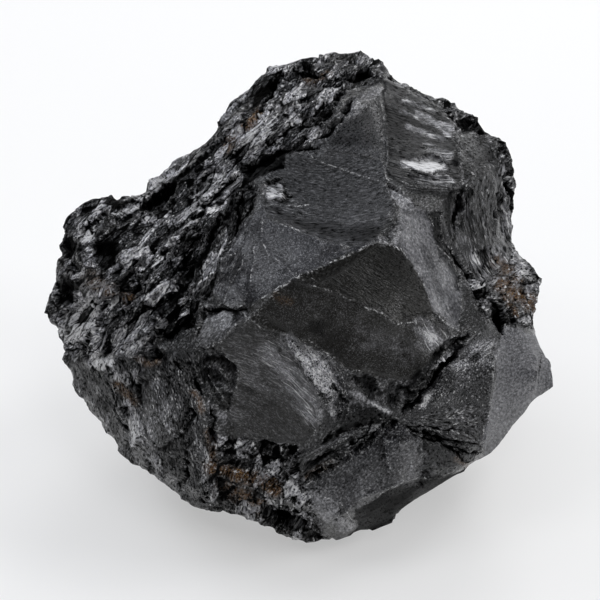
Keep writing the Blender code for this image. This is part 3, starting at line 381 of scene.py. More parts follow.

# Small faces: how much painted highlight they get (less than 0 is painted shade, and a duller finish), how
# far they lean to the right and upwards in mm per mm, how soft their border is in grid steps, and their
# outline.
plates = {
    "whitePatch": (2.0, (0.05, 0.5), 1.0, [(400, 160), (408, 157), (419, 158), (439, 159), (445, 165),
        (439, 172), (428, 175), (419, 175), (408, 168)]),
    "ledgeBand": (0.2, (0.0, 0.3), 1.0, [(408, 177), (428, 178), (449, 178), (449, 188), (425, 188)]),
    "pierHead": (0.75, (-0.1, 0.2), 1.0, [(387, 184), (397, 190), (408, 200), (418, 211), (408, 213),
        (398, 207), (392, 196)]),
    "lobeCap": (-1.0, (-0.1, 0.05), 1.0, [(89, 209), (97, 198), (112, 193), (124, 197), (129, 204),
        (112, 211), (98, 212)]),
    "lobeBand": (1.5, (0.0, 0.2), 1.0, [(104, 212), (116, 212), (133, 206), (142, 204), (138, 212),
        (120, 217), (108, 217)]),
    "bowlShade": (-0.75, (0.0, 0.0), 9.0, [(264, 206), (275, 207), (300, 215), (340, 222), (386, 222),
        (386, 236), (362, 246), (330, 243), (300, 231), (275, 220)]),
    "bowlHead": (-0.65, (0.0, 0.0), 8.0, [(322, 148), (340, 122), (354, 106), (372, 104), (380, 130),
        (385, 152), (360, 150)]),
    "footMiddle": (0.2, (0.2, -0.1), 2.0, [(381, 436), (416, 439), (433, 470), (422, 485), (390, 485)]),
    "footSide": (-0.35, (-0.15, 0.2), 2.0, [(422, 428), (450, 438), (478, 452), (460, 465), (427, 473)]),
    "kneeBrow": (-0.7, (0.0, 0.0), 1.5, [(160, 351), (200, 350), (200, 364), (180, 366), (162, 364)]),
    "kneeShoulder": (-0.5, (0.0, 0.0), 3.0, [(58, 345), (84, 356), (114, 392), (115, 414), (100, 410),
        (80, 384), (62, 360)]),
    "kneeHem": (-0.4, (0.0, 0.0), 3.0, [(115, 414), (130, 440), (152, 470), (172, 494), (150, 480),
        (122, 446), (108, 420)]),
    "chipPlate": (1.15, (0.1, 0.2), 3.0, [(62, 320), (85, 303), (98, 315), (95, 335), (80, 345), (66, 335)]),
    "pierBand": (-0.5, (0.1, 0.0), 1.5, [(430, 210), (438, 214), (443, 226), (446, 242), (457, 264),
        (461, 290), (456, 294), (447, 268), (436, 250), (432, 230)]),
    "outerBand": (-0.35, (-0.1, 0.0), 1.5, [(446, 188), (457, 191), (455, 228), (458, 246), (450, 240),
        (444, 222)]),
    "flankFoot": (0.3, (0.0, 0.0), 6.0, [(462, 250), (482, 252), (498, 270), (498, 300), (484, 304),
        (470, 282)]),
    "pierLow": (0.55, (0.0, 0.0), 8.0, [(424, 268), (440, 256), (455, 270), (461, 290), (458, 331),
        (440, 318), (430, 296)]),
    "saddle": (0.7, (0.0, 0.0), 1.0, [(381, 242), (389, 232), (399, 222), (402, 249)]),
    "stripCore": (1.7, (0.1, 0.2), 1.0, [(299, 350), (308, 355), (318, 369), (308, 371)]),
    "stripFoot": (1.5, (-0.1, 0.3), 1.0, [(318, 378), (328, 382), (332, 392), (322, 390)]),
    "darkLowFan": (0.22, (0.0, 0.0), 30.0, [(352, 304), (380, 314), (400, 326), (430, 322), (448, 338),
        (424, 372), (398, 376), (350, 366), (336, 340)]),
    "darkSpeck": (1.4, (0.0, 0.0), 12.0, [(408, 324), (430, 320), (448, 334), (440, 350), (428, 356),
        (416, 340)]),
    "nook": (1.3, (-0.25, 0.3), 1.0, [(259, 191), (268, 182), (279, 180), (285, 191), (282, 201),
        (271, 199)]),
    "chipHigh": (1.3, (-0.1, 0.4), 1.0, [(60, 314), (84, 301), (99, 314), (97, 332), (82, 346), (67, 333)]),
    "chipLow": (1.6, (-0.1, 0.4), 1.0, [(86, 356), (113, 352), (117, 366), (99, 369)]),
    "chipFoot": (1.2, (-0.1, 0.3), 1.0, [(106, 373), (135, 371), (130, 385), (111, 381)]),
    "chipInner": (0.3, (-0.05, 0.2), 1.0, [(106, 317), (128, 310), (148, 312), (151, 332), (139, 357),
        (118, 362), (108, 340)]),
    "kneeChip": (1.0, (-0.2, 0.35), 1.0, [(121, 405), (138, 409), (144, 436), (135, 446), (126, 427)]),
    "kneeFace": (0.2, (-0.1, 0.1), 1.0, [(136, 380), (165, 376), (186, 400), (186, 430), (160, 446),
        (140, 420)]),
    "kneeLow": (-0.4, (0.1, -0.1), 1.0, [(166, 448), (186, 436), (186, 480), (180, 487), (164, 470)]),
    "hipChip": (-0.2, (-0.2, 0.1), 1.0, [(124, 441), (132, 441), (150, 464), (141, 466), (130, 456)]),
    "brightStrip": (1.05, (0.2, 0.15), 1.0, [(285, 337), (305, 345), (318, 352), (330, 360), (338, 372),
        (335, 388), (325, 392), (308, 374), (294, 352)]),
    "tile": (0.28, (-0.15, 0.25), 1.0, [(203, 308), (222, 309), (240, 310), (248, 318), (235, 328),
        (222, 342), (215, 348), (200, 347), (193, 340), (200, 325)]),
    "slateBright": (1.0, (-0.12, 0.2), 1.0, [(181, 223), (194, 188), (210, 167), (231, 175), (216, 202),
        (200, 216)]),
    "slateHigh": (0.8, (-0.1, 0.12), 1.0, [(237, 133), (263, 112), (290, 106), (300, 118), (279, 140),
        (247, 151)]),
    "slateDull": (-0.9, (0.1, -0.12), 1.0, [(234, 165), (258, 154), (286, 151), (284, 166), (262, 176),
        (246, 184)]),
    "crownDull": (-0.4, (-0.1, 0.05), 1.0, [(244, 98), (262, 80), (276, 78), (268, 98), (256, 114),
        (244, 112)]),
    "crownBright": (0.5, (-0.1, 0.25), 1.0, [(262, 76), (280, 62), (296, 58), (292, 66), (276, 74)]),
    "crownRight": (0.3, (0.0, 0.15), 1.0, [(300, 84), (330, 82), (352, 88), (330, 98), (304, 100)]),
    "lobeEdge": (1.4, (-0.1, 0.35), 1.0, [(141, 204), (149, 188), (163, 175), (173, 172), (166, 182),
        (152, 196), (146, 208)]),
    "lobeTop": (0.2, (-0.2, 0.3), 1.0, [(68, 222), (78, 210), (98, 202), (108, 206), (92, 216), (80, 226)]),
    "lobeFacet": (1.6, (-0.1, 0.4), 1.0, [(77, 237), (92, 231), (96, 238), (85, 245)]),
    "lobeDull": (-0.8, (0.15, -0.2), 1.0, [(90, 244), (112, 240), (117, 262), (104, 271), (94, 258)]),
    "lobeMiddle": (0.1, (0.05, 0.05), 1.0, [(120, 222), (165, 222), (168, 245), (140, 268), (118, 262)]),
    "cheekHigh": (-0.95, (-0.2, -0.1), 1.0, [(64, 240), (76, 234), (79, 252), (66, 258)]),
    "cheekLow": (-0.85, (-0.2, -0.1), 1.0, [(57, 282), (73, 272), (78, 288), (74, 302), (60, 302)]),
    "brownBlock": (0.5, (-0.1, 0.15), 1.0, [(70, 262), (98, 272), (120, 288), (118, 298), (100, 300),
        (82, 284)]),
    "laminaLong": (1.0, (-0.1, 0.2), 1.0, [(167, 243), (189, 226), (214, 205), (220, 204), (200, 222),
        (176, 244)]),
    "laminaShort": (1.5, (-0.1, 0.3), 1.0, [(150, 267), (158, 254), (168, 247), (162, 264)]),
    "foldDull": (-1.0, (0.15, -0.15), 1.0, [(182, 284), (188, 264), (204, 248), (222, 230), (214, 250),
        (198, 268)]),
    "foldBright": (0.5, (-0.1, 0.1), 1.0, [(186, 300), (198, 280), (214, 256), (222, 250), (212, 290),
        (200, 306)]),
    "blockFace": (0.5, (-0.1, 0.2), 1.0, [(140, 300), (150, 284), (176, 270), (172, 290), (160, 302)]),
    "lowSlate": (-0.2, (0.0, -0.1), 1.0, [(158, 330), (165, 310), (185, 304), (196, 314), (184, 328),
        (166, 336)]),
    "underEye": (-0.3, (0.15, 0.0), 1.0, [(204, 378), (216, 388), (234, 394), (229, 412), (212, 402)]),
    "wedgeBand": (-0.7, (0.2, 0.2), 1.0, [(408, 386), (423, 366), (446, 341), (471, 333), (460, 347),
        (443, 366), (422, 390), (407, 408)]),
    "starDull": (-0.6, (0.0, -0.1), 1.0, [(345, 414), (378, 408), (396, 418), (370, 425), (345, 432),
        (318, 446)]),
    "bankDull": (-0.2, (0.0, 0.0), 1.0, [(322, 398), (350, 406), (342, 426), (322, 434)]),
    "sill": (0.5, (-0.1, 0.15), 1.0, [(303, 490), (318, 488), (338, 502), (340, 516), (325, 520),
        (312, 508)]),
    "sillLow": (1.0, (0.0, 0.2), 1.0, [(334, 516), (350, 518), (354, 528), (338, 530)]),
    "flankDull": (-0.4, (0.1, -0.1), 1.0, [(470, 152), (494, 148), (496, 160), (474, 162)]),
    "nubWhite": (1.6, (-0.1, 0.3), 1.0, [(519, 267), (531, 270), (539, 280), (527, 280)]),
}

# Painted highlights on the breaks: the line, its reach in grid steps, and how much.
paintedHighlights = {
    "fanRight": ([(270, 352), (288, 370), (303, 388), (314, 412)], 13, 0.8),
    "strip": ([(288, 340), (303, 355), (320, 374), (330, 390)], 9, 1.0),
    "shellTop": ([(404, 101), (422, 107), (434, 112)], 3, 0.45),
    "shellHigh": ([(415, 113), (434, 121), (451, 131)], 3, 0.85),
    "shellThin": ([(400, 112), (418, 119), (436, 126), (450, 137)], 2, 0.6),
    "shellMiddle": ([(406, 127), (424, 134), (442, 139)], 3, 1.0),
    "shellMiddleLow": ([(424, 146), (438, 150), (452, 156)], 3, 0.55),
    "shellLow": ([(430, 150), (450, 158)], 5, 0.5),
    "patch": ([(406, 163), (425, 168), (442, 168)], 6, 1.15),
    "patchHem": ([(421, 176), (436, 179), (449, 180)], 4, 1.0),
    "bowlRim": ([(350, 112), (362, 104), (376, 94)], 6, 0.7),
    "crownTop": ([(262, 72), (280, 62), (296, 58)], 5, 0.6),
    "slateHigh": ([(245, 142), (270, 125), (296, 104)], 14, 0.7),
    "slateDiagonal": ([(182, 218), (205, 200), (235, 180)], 9, 1.15),
    "slateShort": ([(200, 182), (215, 172), (228, 160)], 7, 0.7),
    "slateInner": ([(296, 86), (318, 90), (330, 84)], 6, 0.6),
    "lobeEdge": ([(78, 226), (92, 221), (104, 210), (120, 212), (138, 207), (150, 194), (160, 182)], 4, 1.0),
    "lobeTop": ([(68, 222), (85, 208), (100, 200)], 5, 0.5),
    "lobeFacet": ([(78, 238), (91, 233)], 6, 1.0),
    "lobeSpeck": ([(140, 216), (155, 218), (172, 222)], 4, 0.6),
    "brownBlock": ([(72, 268), (85, 280), (98, 292)], 7, 0.5),
    "chipHigh": ([(66, 334), (80, 318), (92, 304)], 13, 1.5),
    "chipLow": ([(92, 358), (112, 357)], 8, 1.0),
    "chipFoot": ([(112, 372), (124, 378), (134, 374)], 6, 0.8),
    "chipInner": ([(128, 345), (142, 330)], 9, 0.4),
    "kneeChip": ([(126, 406), (134, 420), (140, 436)], 7, 0.8),
    "laminaLong": ([(166, 244), (190, 228), (215, 208)], 3, 1.0),
    "laminaShort": ([(154, 268), (166, 254)], 3, 1.0),
    "blockFace": ([(150, 294), (162, 286)], 5, 0.7),
    "foldFace": ([(188, 294), (204, 272), (216, 256)], 5, 0.6),
    "pierTop": ([(408, 222), (418, 240), (426, 262)], 12, 0.7),
    "pierFoot": ([(440, 280), (446, 300), (452, 318)], 9, 0.5),
    "pierHead": ([(392, 190), (405, 202), (415, 209)], 4, 0.5),
    "saddle": ([(383, 242), (398, 232)], 6, 0.6),
    "darkSpeck": ([(420, 322), (436, 332), (446, 340)], 8, 0.5),
    "wedgeGlint": ([(420, 405), (430, 392), (437, 380)], 3, 1.0),
    "wedgeChip": ([(421, 405), (428, 398)], 3, 1.9),
    "starCrumbs": ([(370, 401), (378, 405), (388, 411)], 2.5, 1.5),
    "starCrumbsHigh": ([(350, 391), (356, 395), (362, 397)], 3, 1.1),
    "starRidge": ([(338, 408), (350, 402), (362, 404)], 3, 0.8),
    "stripChip": ([(330, 392), (333, 412)], 4, 1.2),
    "cornerTop": ([(458, 362), (474, 348), (488, 352)], 12, 0.7),
    "sill": ([(303, 492), (318, 500), (336, 512)], 7, 0.7),
    "sillLow": ([(336, 522), (350, 524)], 6, 0.9),
    "footRib": ([(411, 462), (413, 474)], 2, 1.0),
    "undercutGlints": ([(222, 452), (250, 458), (285, 462)], 6, 0.5),
    "nub": ([(520, 269), (533, 277)], 6, 1.0),
    "cliffGlint": ([(208, 405), (216, 412), (224, 418)], 4, 0.7),
}

# Hollows: their outline, their depth in mm, and how dark their painted shade is.
hollows = {
    "eye": ([(199, 353), (212, 349), (226, 353), (236, 364), (240, 378), (228, 374), (214, 366),
        (203, 363)], 1.4, 0.9),
    "eyeLow": ([(202, 366), (214, 368), (228, 376), (239, 381), (237, 390), (229, 391),
        (220, 384)], 0.7, 0.2),
    "pocket": ([(351, 376), (366, 372), (378, 380), (383, 392), (372, 397), (358, 390)], 1.2, 0.9),
    "pocketRight": ([(388, 380), (402, 384), (418, 384), (408, 398), (398, 408), (384, 402)], 1.3, 0.7),
    "dip": ([(303, 322), (316, 316), (328, 326), (326, 338), (312, 336)], 0.3, 0.5),
    "niche": ([(146, 206), (158, 192), (172, 181), (173, 196), (162, 209), (150, 212)], 2.0, 1.0),
    "ovalHigh": ([(63, 238), (72, 234), (78, 246), (74, 260), (64, 258)], 1.2, 0.6),
    "ovalLow": ([(60, 283), (70, 279), (78, 288), (75, 303), (63, 305)], 1.2, 0.6),
    "lobePit": ([(86, 244), (102, 240), (108, 252), (100, 266), (88, 262)], 1.0, 0.5),
    "recess": ([(282, 184), (291, 190), (298, 202), (286, 203)], 0.8, 0.7),
    "topPocket": ([(451, 117), (466, 118), (480, 121), (481, 128), (464, 130), (456, 126)], 1.2, 0.8),
    "flankPit": ([(501, 168), (509, 174), (513, 186), (506, 192), (502, 184)], 1.4, 0.9),
    "flankPitLow": ([(497, 196), (506, 198), (508, 212), (503, 226), (498, 214)], 1.2, 0.7),
    "cave": ([(262, 496), (284, 510), (298, 516), (310, 525), (306, 532), (290, 527), (268, 522),
        (258, 512)], 2.6, 1.0),
    "caveMouth": ([(212, 478), (226, 486), (246, 497), (262, 508), (258, 516), (236, 508),
        (214, 494)], 1.2, 0.8),
    "underSlot": ([(300, 470), (322, 452), (345, 440), (352, 446), (330, 464), (308, 480)], 0.9, 0.6),
    "slatePit": ([(146, 350), (158, 349), (158, 359), (148, 360)], 1.4, 1.0),
    "rustPit": ([(484, 304), (497, 304), (503, 312), (500, 326), (493, 322)], 1.5, 0.9),
    "foldShade": ([(186, 262), (204, 244), (212, 240), (206, 256), (192, 280), (184, 284)], 0.9, 0.7),
    "crownPit": ([(299, 72), (308, 67), (318, 75), (309, 80)], 1.5, 0.9),
    "ledgeShade": ([(335, 84), (352, 79), (370, 72), (376, 78), (352, 88), (340, 92)], 1.0, 0.6),
}

# A notch that bites into the stone's outline: its outline and its depth in mm.
notches = {
    "lobeNotch": ([(112, 186), (122, 180), (146, 176), (147, 190), (138, 200), (124, 204), (114, 200)], 1.3),
}

# Brown iron stains: the line that they follow, their reach in grid steps, and how strong they are.
stains = {
    "caveRust": ([(210, 466), (226, 471), (242, 478), (262, 480), (276, 491)], 8, 1.0),
    "caveRustLow": ([(222, 490), (236, 494), (250, 500), (262, 508)], 9, 0.8),
    "cliffRust": ([(209, 432), (211, 447), (209, 462)], 5, 0.7),
    "seamRust": ([(108, 291), (122, 297), (130, 296)], 5, 0.8),
    "blockRust": ([(84, 274), (98, 284), (112, 292)], 9, 0.6),
    "kneeRust": ([(194, 393), (200, 402), (203, 410)], 4, 0.7),
    "kneeRustLeft": ([(118, 385), (127, 393), (133, 402)], 5, 0.6),
    "pitRust": ([(138, 358), (148, 364), (158, 362)], 4, 0.6),
    "slateRust": ([(226, 142), (240, 132), (252, 122), (258, 112)], 5, 0.8),
    "slateRustLow": ([(222, 152), (232, 146), (240, 140)], 4, 0.5),
    "crownRust": ([(306, 80), (318, 80), (328, 76)], 5, 0.5),
    "nubRust": ([(501, 283), (512, 292), (524, 300), (533, 306)], 9, 0.9),
    "nubRustHigh": ([(498, 262), (508, 270), (516, 280)], 7, 0.7),
    "nubGold": ([(503, 297), (509, 305), (515, 315)], 3, 1.0),
    "innerRust": ([(276, 296), (284, 300), (292, 300)], 4, 0.2),
    "starRust": ([(455, 458), (464, 464), (472, 464)], 4, 0.4),
    "slotRust": ([(308, 476), (320, 470), (334, 462)], 4, 0.35),
}


def lineGap(spots, line):
    # from each spot to an open line: the shortest gap in grid steps, the share of the line's length where it
    # is shortest, and on which side of the line the spot lies
    corners = np.array(line, dtype=float)
    runs = np.hypot(*np.diff(corners, axis=0).T)
    ends = np.concatenate([[0], np.cumsum(runs)])
    best, share, side = np.full(len(spots), 1e6), np.zeros(len(spots)), np.ones(len(spots))
    for i, (start, end) in enumerate(zip(corners[:-1], corners[1:])):
        run = end - start
        offset = spots - start
        part = np.clip(offset @ run / (run @ run), 0, 1)
        gap = np.hypot(*(offset - part[:, None] * run).T)
        closer = gap < best
        best = np.where(closer, gap, best)
        share = np.where(closer, (ends[i] + part * runs[i]) / ends[-1], share)
        side = np.where(closer, np.where(run[0] * offset[:, 1] > run[1] * offset[:, 0], 1, -1), side)
    return best, share, side


def insideDepth(spots, outline):  # steps inside the outline, less than 0 outside it
    corners = np.array(outline, dtype=float)
    inside = np.zeros(len(spots), dtype=bool)
    for (x1, y1), (x2, y2) in zip(corners, np.roll(corners, -1, axis=0)):
        if y1 == y2:
            continue
        crosses = (y1 > spots[:, 1]) != (y2 > spots[:, 1])
        inside ^= crosses & (spots[:, 0] < (x2 - x1) * (spots[:, 1] - y1) / (y2 - y1) + x1)
    gap = lineGap(spots, np.vstack([corners, corners[:1]]))[0]
    return np.where(inside, gap, -gap)


def ramp(values, low, high):  # 0 below low, 1 above high, smooth between
    share = np.clip((values - low) / (high - low), 0, 1)
    return share * share * (3 - 2 * share)


# How the stone's mesh is cut, rounded and carved.
stoneShape = {
    "creaseAngle": math.radians(30),  # sharper edges of the solid stay sharp where it is rough
    "markedAngle": math.radians(7),  # and those under a marked edge
    "unmarkedAngle": math.radians(48),  # and those of a clean break away from any mark
    "sharpAngle": math.radians(28),  # the finished mesh is faceted where it bends more
    "smoothRounds": 40,
    "roughRounds": 5,
    "smoothReach": 4.0,  # grid steps from a mark within which an edge counts as marked
    "frontEdge": 0.80,  # mm, the longest edge of the mesh
    "backEdge": 1.20,
    "markEdge": 0.42,
    "uncutEdge": 99.0,
    "cutRounds": 4,
    "markReach": 3.4,  # grid steps from a mark within which the mesh is finer
    "footReach": 0.02,  # mm above the floor within which the mesh stays put
    "roughShare": 0.4,  # a break with more slate or rubble than this is rough, and isn't rounded for long
    "layerSpacing": 3.0,  # mm from one slate edge to the next
    "layerHeight": 0.4,
    "layerStretch": (1.0, 0.3, 1.0),
    "layerTurn": (0.73, 0.68, 0.25),  # how the slate's layers run: along, across, and out
    "layerStreaks": (0.7, 4.0, 0.06, 0.1),  # on hidden sides: spacing, length, height, and more on slate
    "layerRibs": (1.8, 8.0, 0.1, 0.25),  # the same, of the coarser ribs
    "arcStreak": 20.0,  # mm along an arc for each radian
    "rayStreak": 12.0,  # mm across rays for each radian
    "farRight": 500,  # grid steps, right of the breaks that arcs run through
    "ribLength": 4,  # times its spacing
    "ribShape": (0.8, 0.3),  # how sharp its ridge is, and how much of it is below the surface
    "gapDepth": 0.5,  # mm, of the black gaps between the slate's layers
    # painted shade: how dark the gaps between the slate's layers are painted
    "gapDark": 0.8,
    "plateSize": (10.92, 2.94, 5.04),  # mm along, across and out, of the slate's broken plates
    "plateLean": 0.6,
    "plateWarp": 0.3,
    "rubbleSize": 3.0,
    "rubbleLean": 0.5,
    "rubbleFine": 0.5,  # the size and the height of the finer chips among them
    "rubbleShifts": (3.0, 5.0),
    "chipStep": 0.35,  # how far chips stand out unequally, as a share of the lean
    "seedScatter": (9.7, 5.3, 7.3),  # so that each chip and bowl has a lean, a step and a side of its own
    "hiddenGrit": (0.35, 0.4),  # on clean hidden breaks, and what rubble adds
    "frontGrit": 0.4,
    # how much of the wandering each follows
    "wanderShares": {"streaks": 0.35, "hollows": 2.4, "edges": 0.5, "bowls": 1.5},
    "hollowUnequal": (0.6, 0.4),  # the least share of a hollow's depth, and what unevenness adds
    "edgeSwell": 0.1,  # mm, how high a crushed edge stands
    "edgeRidge": 0.5,  # mm, half its width
    "markWidth": 1.5,  # mm from a line, as far as the finish reads it
    "farAway": 9.0,
    # painted shade: a crack's core is painted black
    "crackCore": 0.45,  # the share of a crack's width that is black
    "crackTaper": (0.35, 0.65),  # the share of its width at its ends, and what the middle adds
    "crackEnd": 0.04,
    "crackRound": 0.8,  # 1 is a plain V, and less is rounder
    "crackUnequal": (0.9, 0.35, 1.6),  # the usual share of the width, the least and the most
    "plateBorder": -1.0,  # grid steps inside a small face's outline at which it begins
    "plateStep": 1.1,  # mm, the highest step at the edge of a small face
    "plateFlat": 0.5,  # how much of the relief a small face takes off
    "swell": 0.2,  # mm, makes up for what the breaks take off
    "scallopSize": 13.0,  # mm, of the bowls that hammer blows left on the hidden breaks
    "scallopDepth": 3.0,
    "scallopBottom": 0.2,
    "scallopReach": 0.8,  # of its size, beyond which a bowl rises no more
    # white on crushed ridges where bowls meet: partly powder, partly painted highlight
    "scallopWhite": 0.6,
    "scallopShare": 0.7,  # how hidden and how clean a place is where bowls meet in a crushed ridge
    "waves": {  # mm across, a shift of the pattern, and the height
        "hiddenSlate": (20.0, 2.0, 6.0),
        "hiddenRubble": (16.0, 7.0, 1.0),
        "rib": (1.0, 21.0, 1.0),
        "gap": (1.3, 31.0, 1.0),
        "right": (2.6, 4.0, 2.4),
        "up": (2.6, 9.0, 2.4),
        "fineRight": (0.9, 5.0, 1.4),
        "fineUp": (0.9, 10.0, 1.4),
        "tone": (22.0, 5.0, 0.4),
        "warp": (12.0, 1.0, 3.2),
        "fineWarp": (3.5, 3.0, 0.7),
        "layerRun": (9.0, 6.0, 1.0),
        "uneven": (5.0, 11.0, 0.11),
        "fineUneven": (2.2, 15.0, 0.044),
        "grit": (1.1, 12.0, 0.12),
        "fineGrit": (0.6, 13.0, 0.084),
        "gleam": (7.0, 25.0, 0.22),
        "finePaintedLight": (2.5, 27.0, 0.132),
        "unequal": (1.8, 17.0, 1.1),
    },
    "fades": {  # from none to all
        "front": (-0.12, 0.12),
        "wrapped": (-0.75, -0.45),
        "break": (-1.5, 1.5),
        "flow": (-2.0, 3.0),
        "hiddenSlate": (8, 16),
        "hiddenRubble": (0.0, 0.2),
        "gap": (0.18, 0.4),
        "layerRun": (-0.3, 0.3),
        "gleam": (0.35, 1.3),  # of its reach
        "stain": (0.3, 1.3),
        "hollow": (-2.0, 9.0),
        "hollowDark": (-1.5, 5.0),
        "notch": (-2.0, 4.0),
        "foot": (0.0, 1.2),  # mm above the floor
    },
}


def fade(values, name):
    return ramp(values, *stoneShape["fades"][name])


def waveAt(places, name):
    size, shift, height = stoneShape["waves"][name]
    offset = Vector((shift, shift * 0.7, -shift))
    return height * np.array([noise.noise(Vector(place) / size + offset) for place in places])


def readMesh(shape):
    shape.verts.index_update()
    shape.normal_update()
    places = np.array([v.co for v in shape.verts]) * 1000
    normals = np.array([v.normal for v in shape.verts])
    return places, normals


def moveMesh(shape, places):
    for vert, place in zip(shape.verts, places):
        vert.co = place / 1000


def frontWeight(normals):  # 1 where the surface can be seen from the station
    return fade(normals @ towardsStation, "front")


def roughWeight(places, normals):  # 1 where the rock is slate or rubble, 0 on clean breaks
    sighted = toSight(places)
    spots, front = toGrid(sighted), frontWeight(normals)
    rough = np.zeros(len(places))
    for given, outline in breaks.values():
        share = max(given.get("slate", 0), given.get("rubble", 0))
        weight = fade(insideDepth(spots, outline), "break")
        rough = rough * (1 - weight) + (share > stoneShape["roughShare"]) * weight
    slate, rubble = hiddenSides(places, sighted)
    return rough * front + np.maximum(slate, rubble) * (1 - front)


def hiddenSides(places, sighted):
    # slate carries on over the top left, and rubble and clean breaks share the rest
    slate = fade(waveAt(places, "hiddenSlate") - layerPlaces(sighted)[:, 1], "hiddenSlate")
    rubble = fade(waveAt(places, "hiddenRubble"), "hiddenRubble") * (1 - slate)
    return slate, rubble


def markGap(spots):  # grid steps to the nearest marked edge or crack
    lines = [mark[0] for mark in (*crushedEdges.values(), *cracks.values())]
    return np.min([lineGap(spots, line)[0] for line in lines], axis=0)


def copyOfSolid():
    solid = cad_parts["stone"].data
    mesh = bpy.data.meshes.new("shungiteStone")
    mesh.from_pydata([v.co for v in solid.vertices], [], [tuple(p.vertices) for p in solid.polygons])
    shape = bmesh.new()
    shape.from_mesh(mesh)
    bmesh.ops.remove_doubles(shape, verts=shape.verts, dist=1e-6)
    bmesh.ops.recalc_face_normals(shape, faces=shape.faces)
    return mesh, shape


def cutLongEdges(shape, longest):  # longest: the greatest length of an edge at each corner, in mm
    edges = []
    for edge in shape.edges:
        start, end = edge.verts
        if edge.calc_length() * 1000 > 0.5 * (longest[start.index] + longest[end.index]):
            edges.append(edge)
    bmesh.ops.subdivide_edges(shape, edges=edges, cuts=1)
    bmesh.ops.triangulate(shape, faces=[face for face in shape.faces if len(face.verts) > 3])
    return len(edges)


def cutEvenly(shape):  # small triangles everywhere, smaller on the front
    values = stoneShape
    for _ in range(values["cutRounds"]):
        front = frontWeight(readMesh(shape)[1])
        longest = values["backEdge"] + (values["frontEdge"] - values["backEdge"]) * front
        if not cutLongEdges(shape, longest):
            break


def cutMarks(shape):  # the smallest triangles by the marks
    places, normals = readMesh(shape)
    spots, front = toGrid(toSight(places)), frontWeight(normals)
    near = (markGap(spots) < stoneShape["markReach"]) & (front > 0.5)
    cutLongEdges(shape, np.where(near, stoneShape["markEdge"], stoneShape["uncutEdge"]))


def smoothBreaks(shape):  # rounds the solid's small flats away, and keeps its sharp edges
    values = stoneShape
    places, normals = readMesh(shape)
    rough = roughWeight(places, normals) > 0.5
    near = markGap(toGrid(toSight(places))) < values["smoothReach"]
    marked = near & (frontWeight(normals) > 0.5)
    sharp, plain = [], []
    for edge in shape.edges:
        pair = [v.index for v in edge.verts]
        plain.append(pair)
        angle = edge.calc_face_angle(0.0)
        if angle < values["markedAngle"]:
            continue
        limit = values["unmarkedAngle"]
        if rough[pair[0]] or rough[pair[1]]:
            limit = values["creaseAngle"]
        elif marked[pair[0]] and marked[pair[1]]:
            limit = values["markedAngle"]
        if angle > limit:
            sharp.append(pair)
    plain, sharp = np.array(plain), np.array(sharp)
    plainCount = np.bincount(plain.ravel(), minlength=len(places))
    sharpCount = np.bincount(sharp.ravel(), minlength=len(places))
    onLine = sharpCount == 2
    still = (sharpCount == 1) | (sharpCount > 2) | (places[:, 2] < values["footReach"])
    for turn in range(values["smoothRounds"]):
        moved = neighbourSum(places, plain) / plainCount[:, None]
        moved[onLine] = 0.5 * places[onLine] + 0.25 * neighbourSum(places, sharp)[onLine]
        keep = still | rough if turn >= values["roughRounds"] else still
        moved[keep] = places[keep]
        places = moved
    moveMesh(shape, places)


def neighbourSum(values, pairs):
    total = np.zeros_like(values)
    for here, there in ((0, 1), (1, 0)):
        for axis in range(values.shape[1]):
            total[:, axis] += np.bincount(pairs[:, here], values[pairs[:, there], axis], len(values))
    return total


def chipAt(places, lean, shift=0.0):  # flat chips, each about a scattered point and with a lean of its own
    heights = np.empty(len(places))
    offset = Vector((shift, -shift, shift * 0.5))
    half = Vector((0.5, 0.5, 0.5))
    leanScatter, stepScatter, _ = stoneShape["seedScatter"]
    for i, place in enumerate(places):
        spot = Vector(place) + offset
        seed = noise.voronoi(spot)[1][0]
        tilt = noise.cell_vector(seed * leanScatter) - half
        step = stoneShape["chipStep"] * (noise.cell(seed * stepScatter) - 0.5)
        heights[i] = lean * (2 * tilt.dot(spot - seed) + step)
    return heights


def scallopAt(places):  # shallow bowls that meet in ridges: how high, and mm to the nearest ridge
    values = stoneShape
    heights, gaps = np.empty(len(places)), np.empty(len(places))
    for i, place in enumerate(places):
        reaches, seeds = noise.voronoi(Vector(place) / values["scallopSize"])
        heights[i] = min(reaches[0], values["scallopReach"]) ** 2 - values["scallopBottom"]
        side = 1 if noise.cell(seeds[0] * values["seedScatter"][2]) > 0.5 else -1
        gaps[i] = side * (reaches[1] - reaches[0]) * values["scallopSize"] / 2
    return heights, gaps


def layerPlaces(sighted):  # along the slate's layers, across them, and out
    right, up, out = sighted.T
    run, cross, outward = stoneShape["layerTurn"]
    return np.stack([run * right + cross * up, cross * right - run * up + outward * out, out], axis=1)


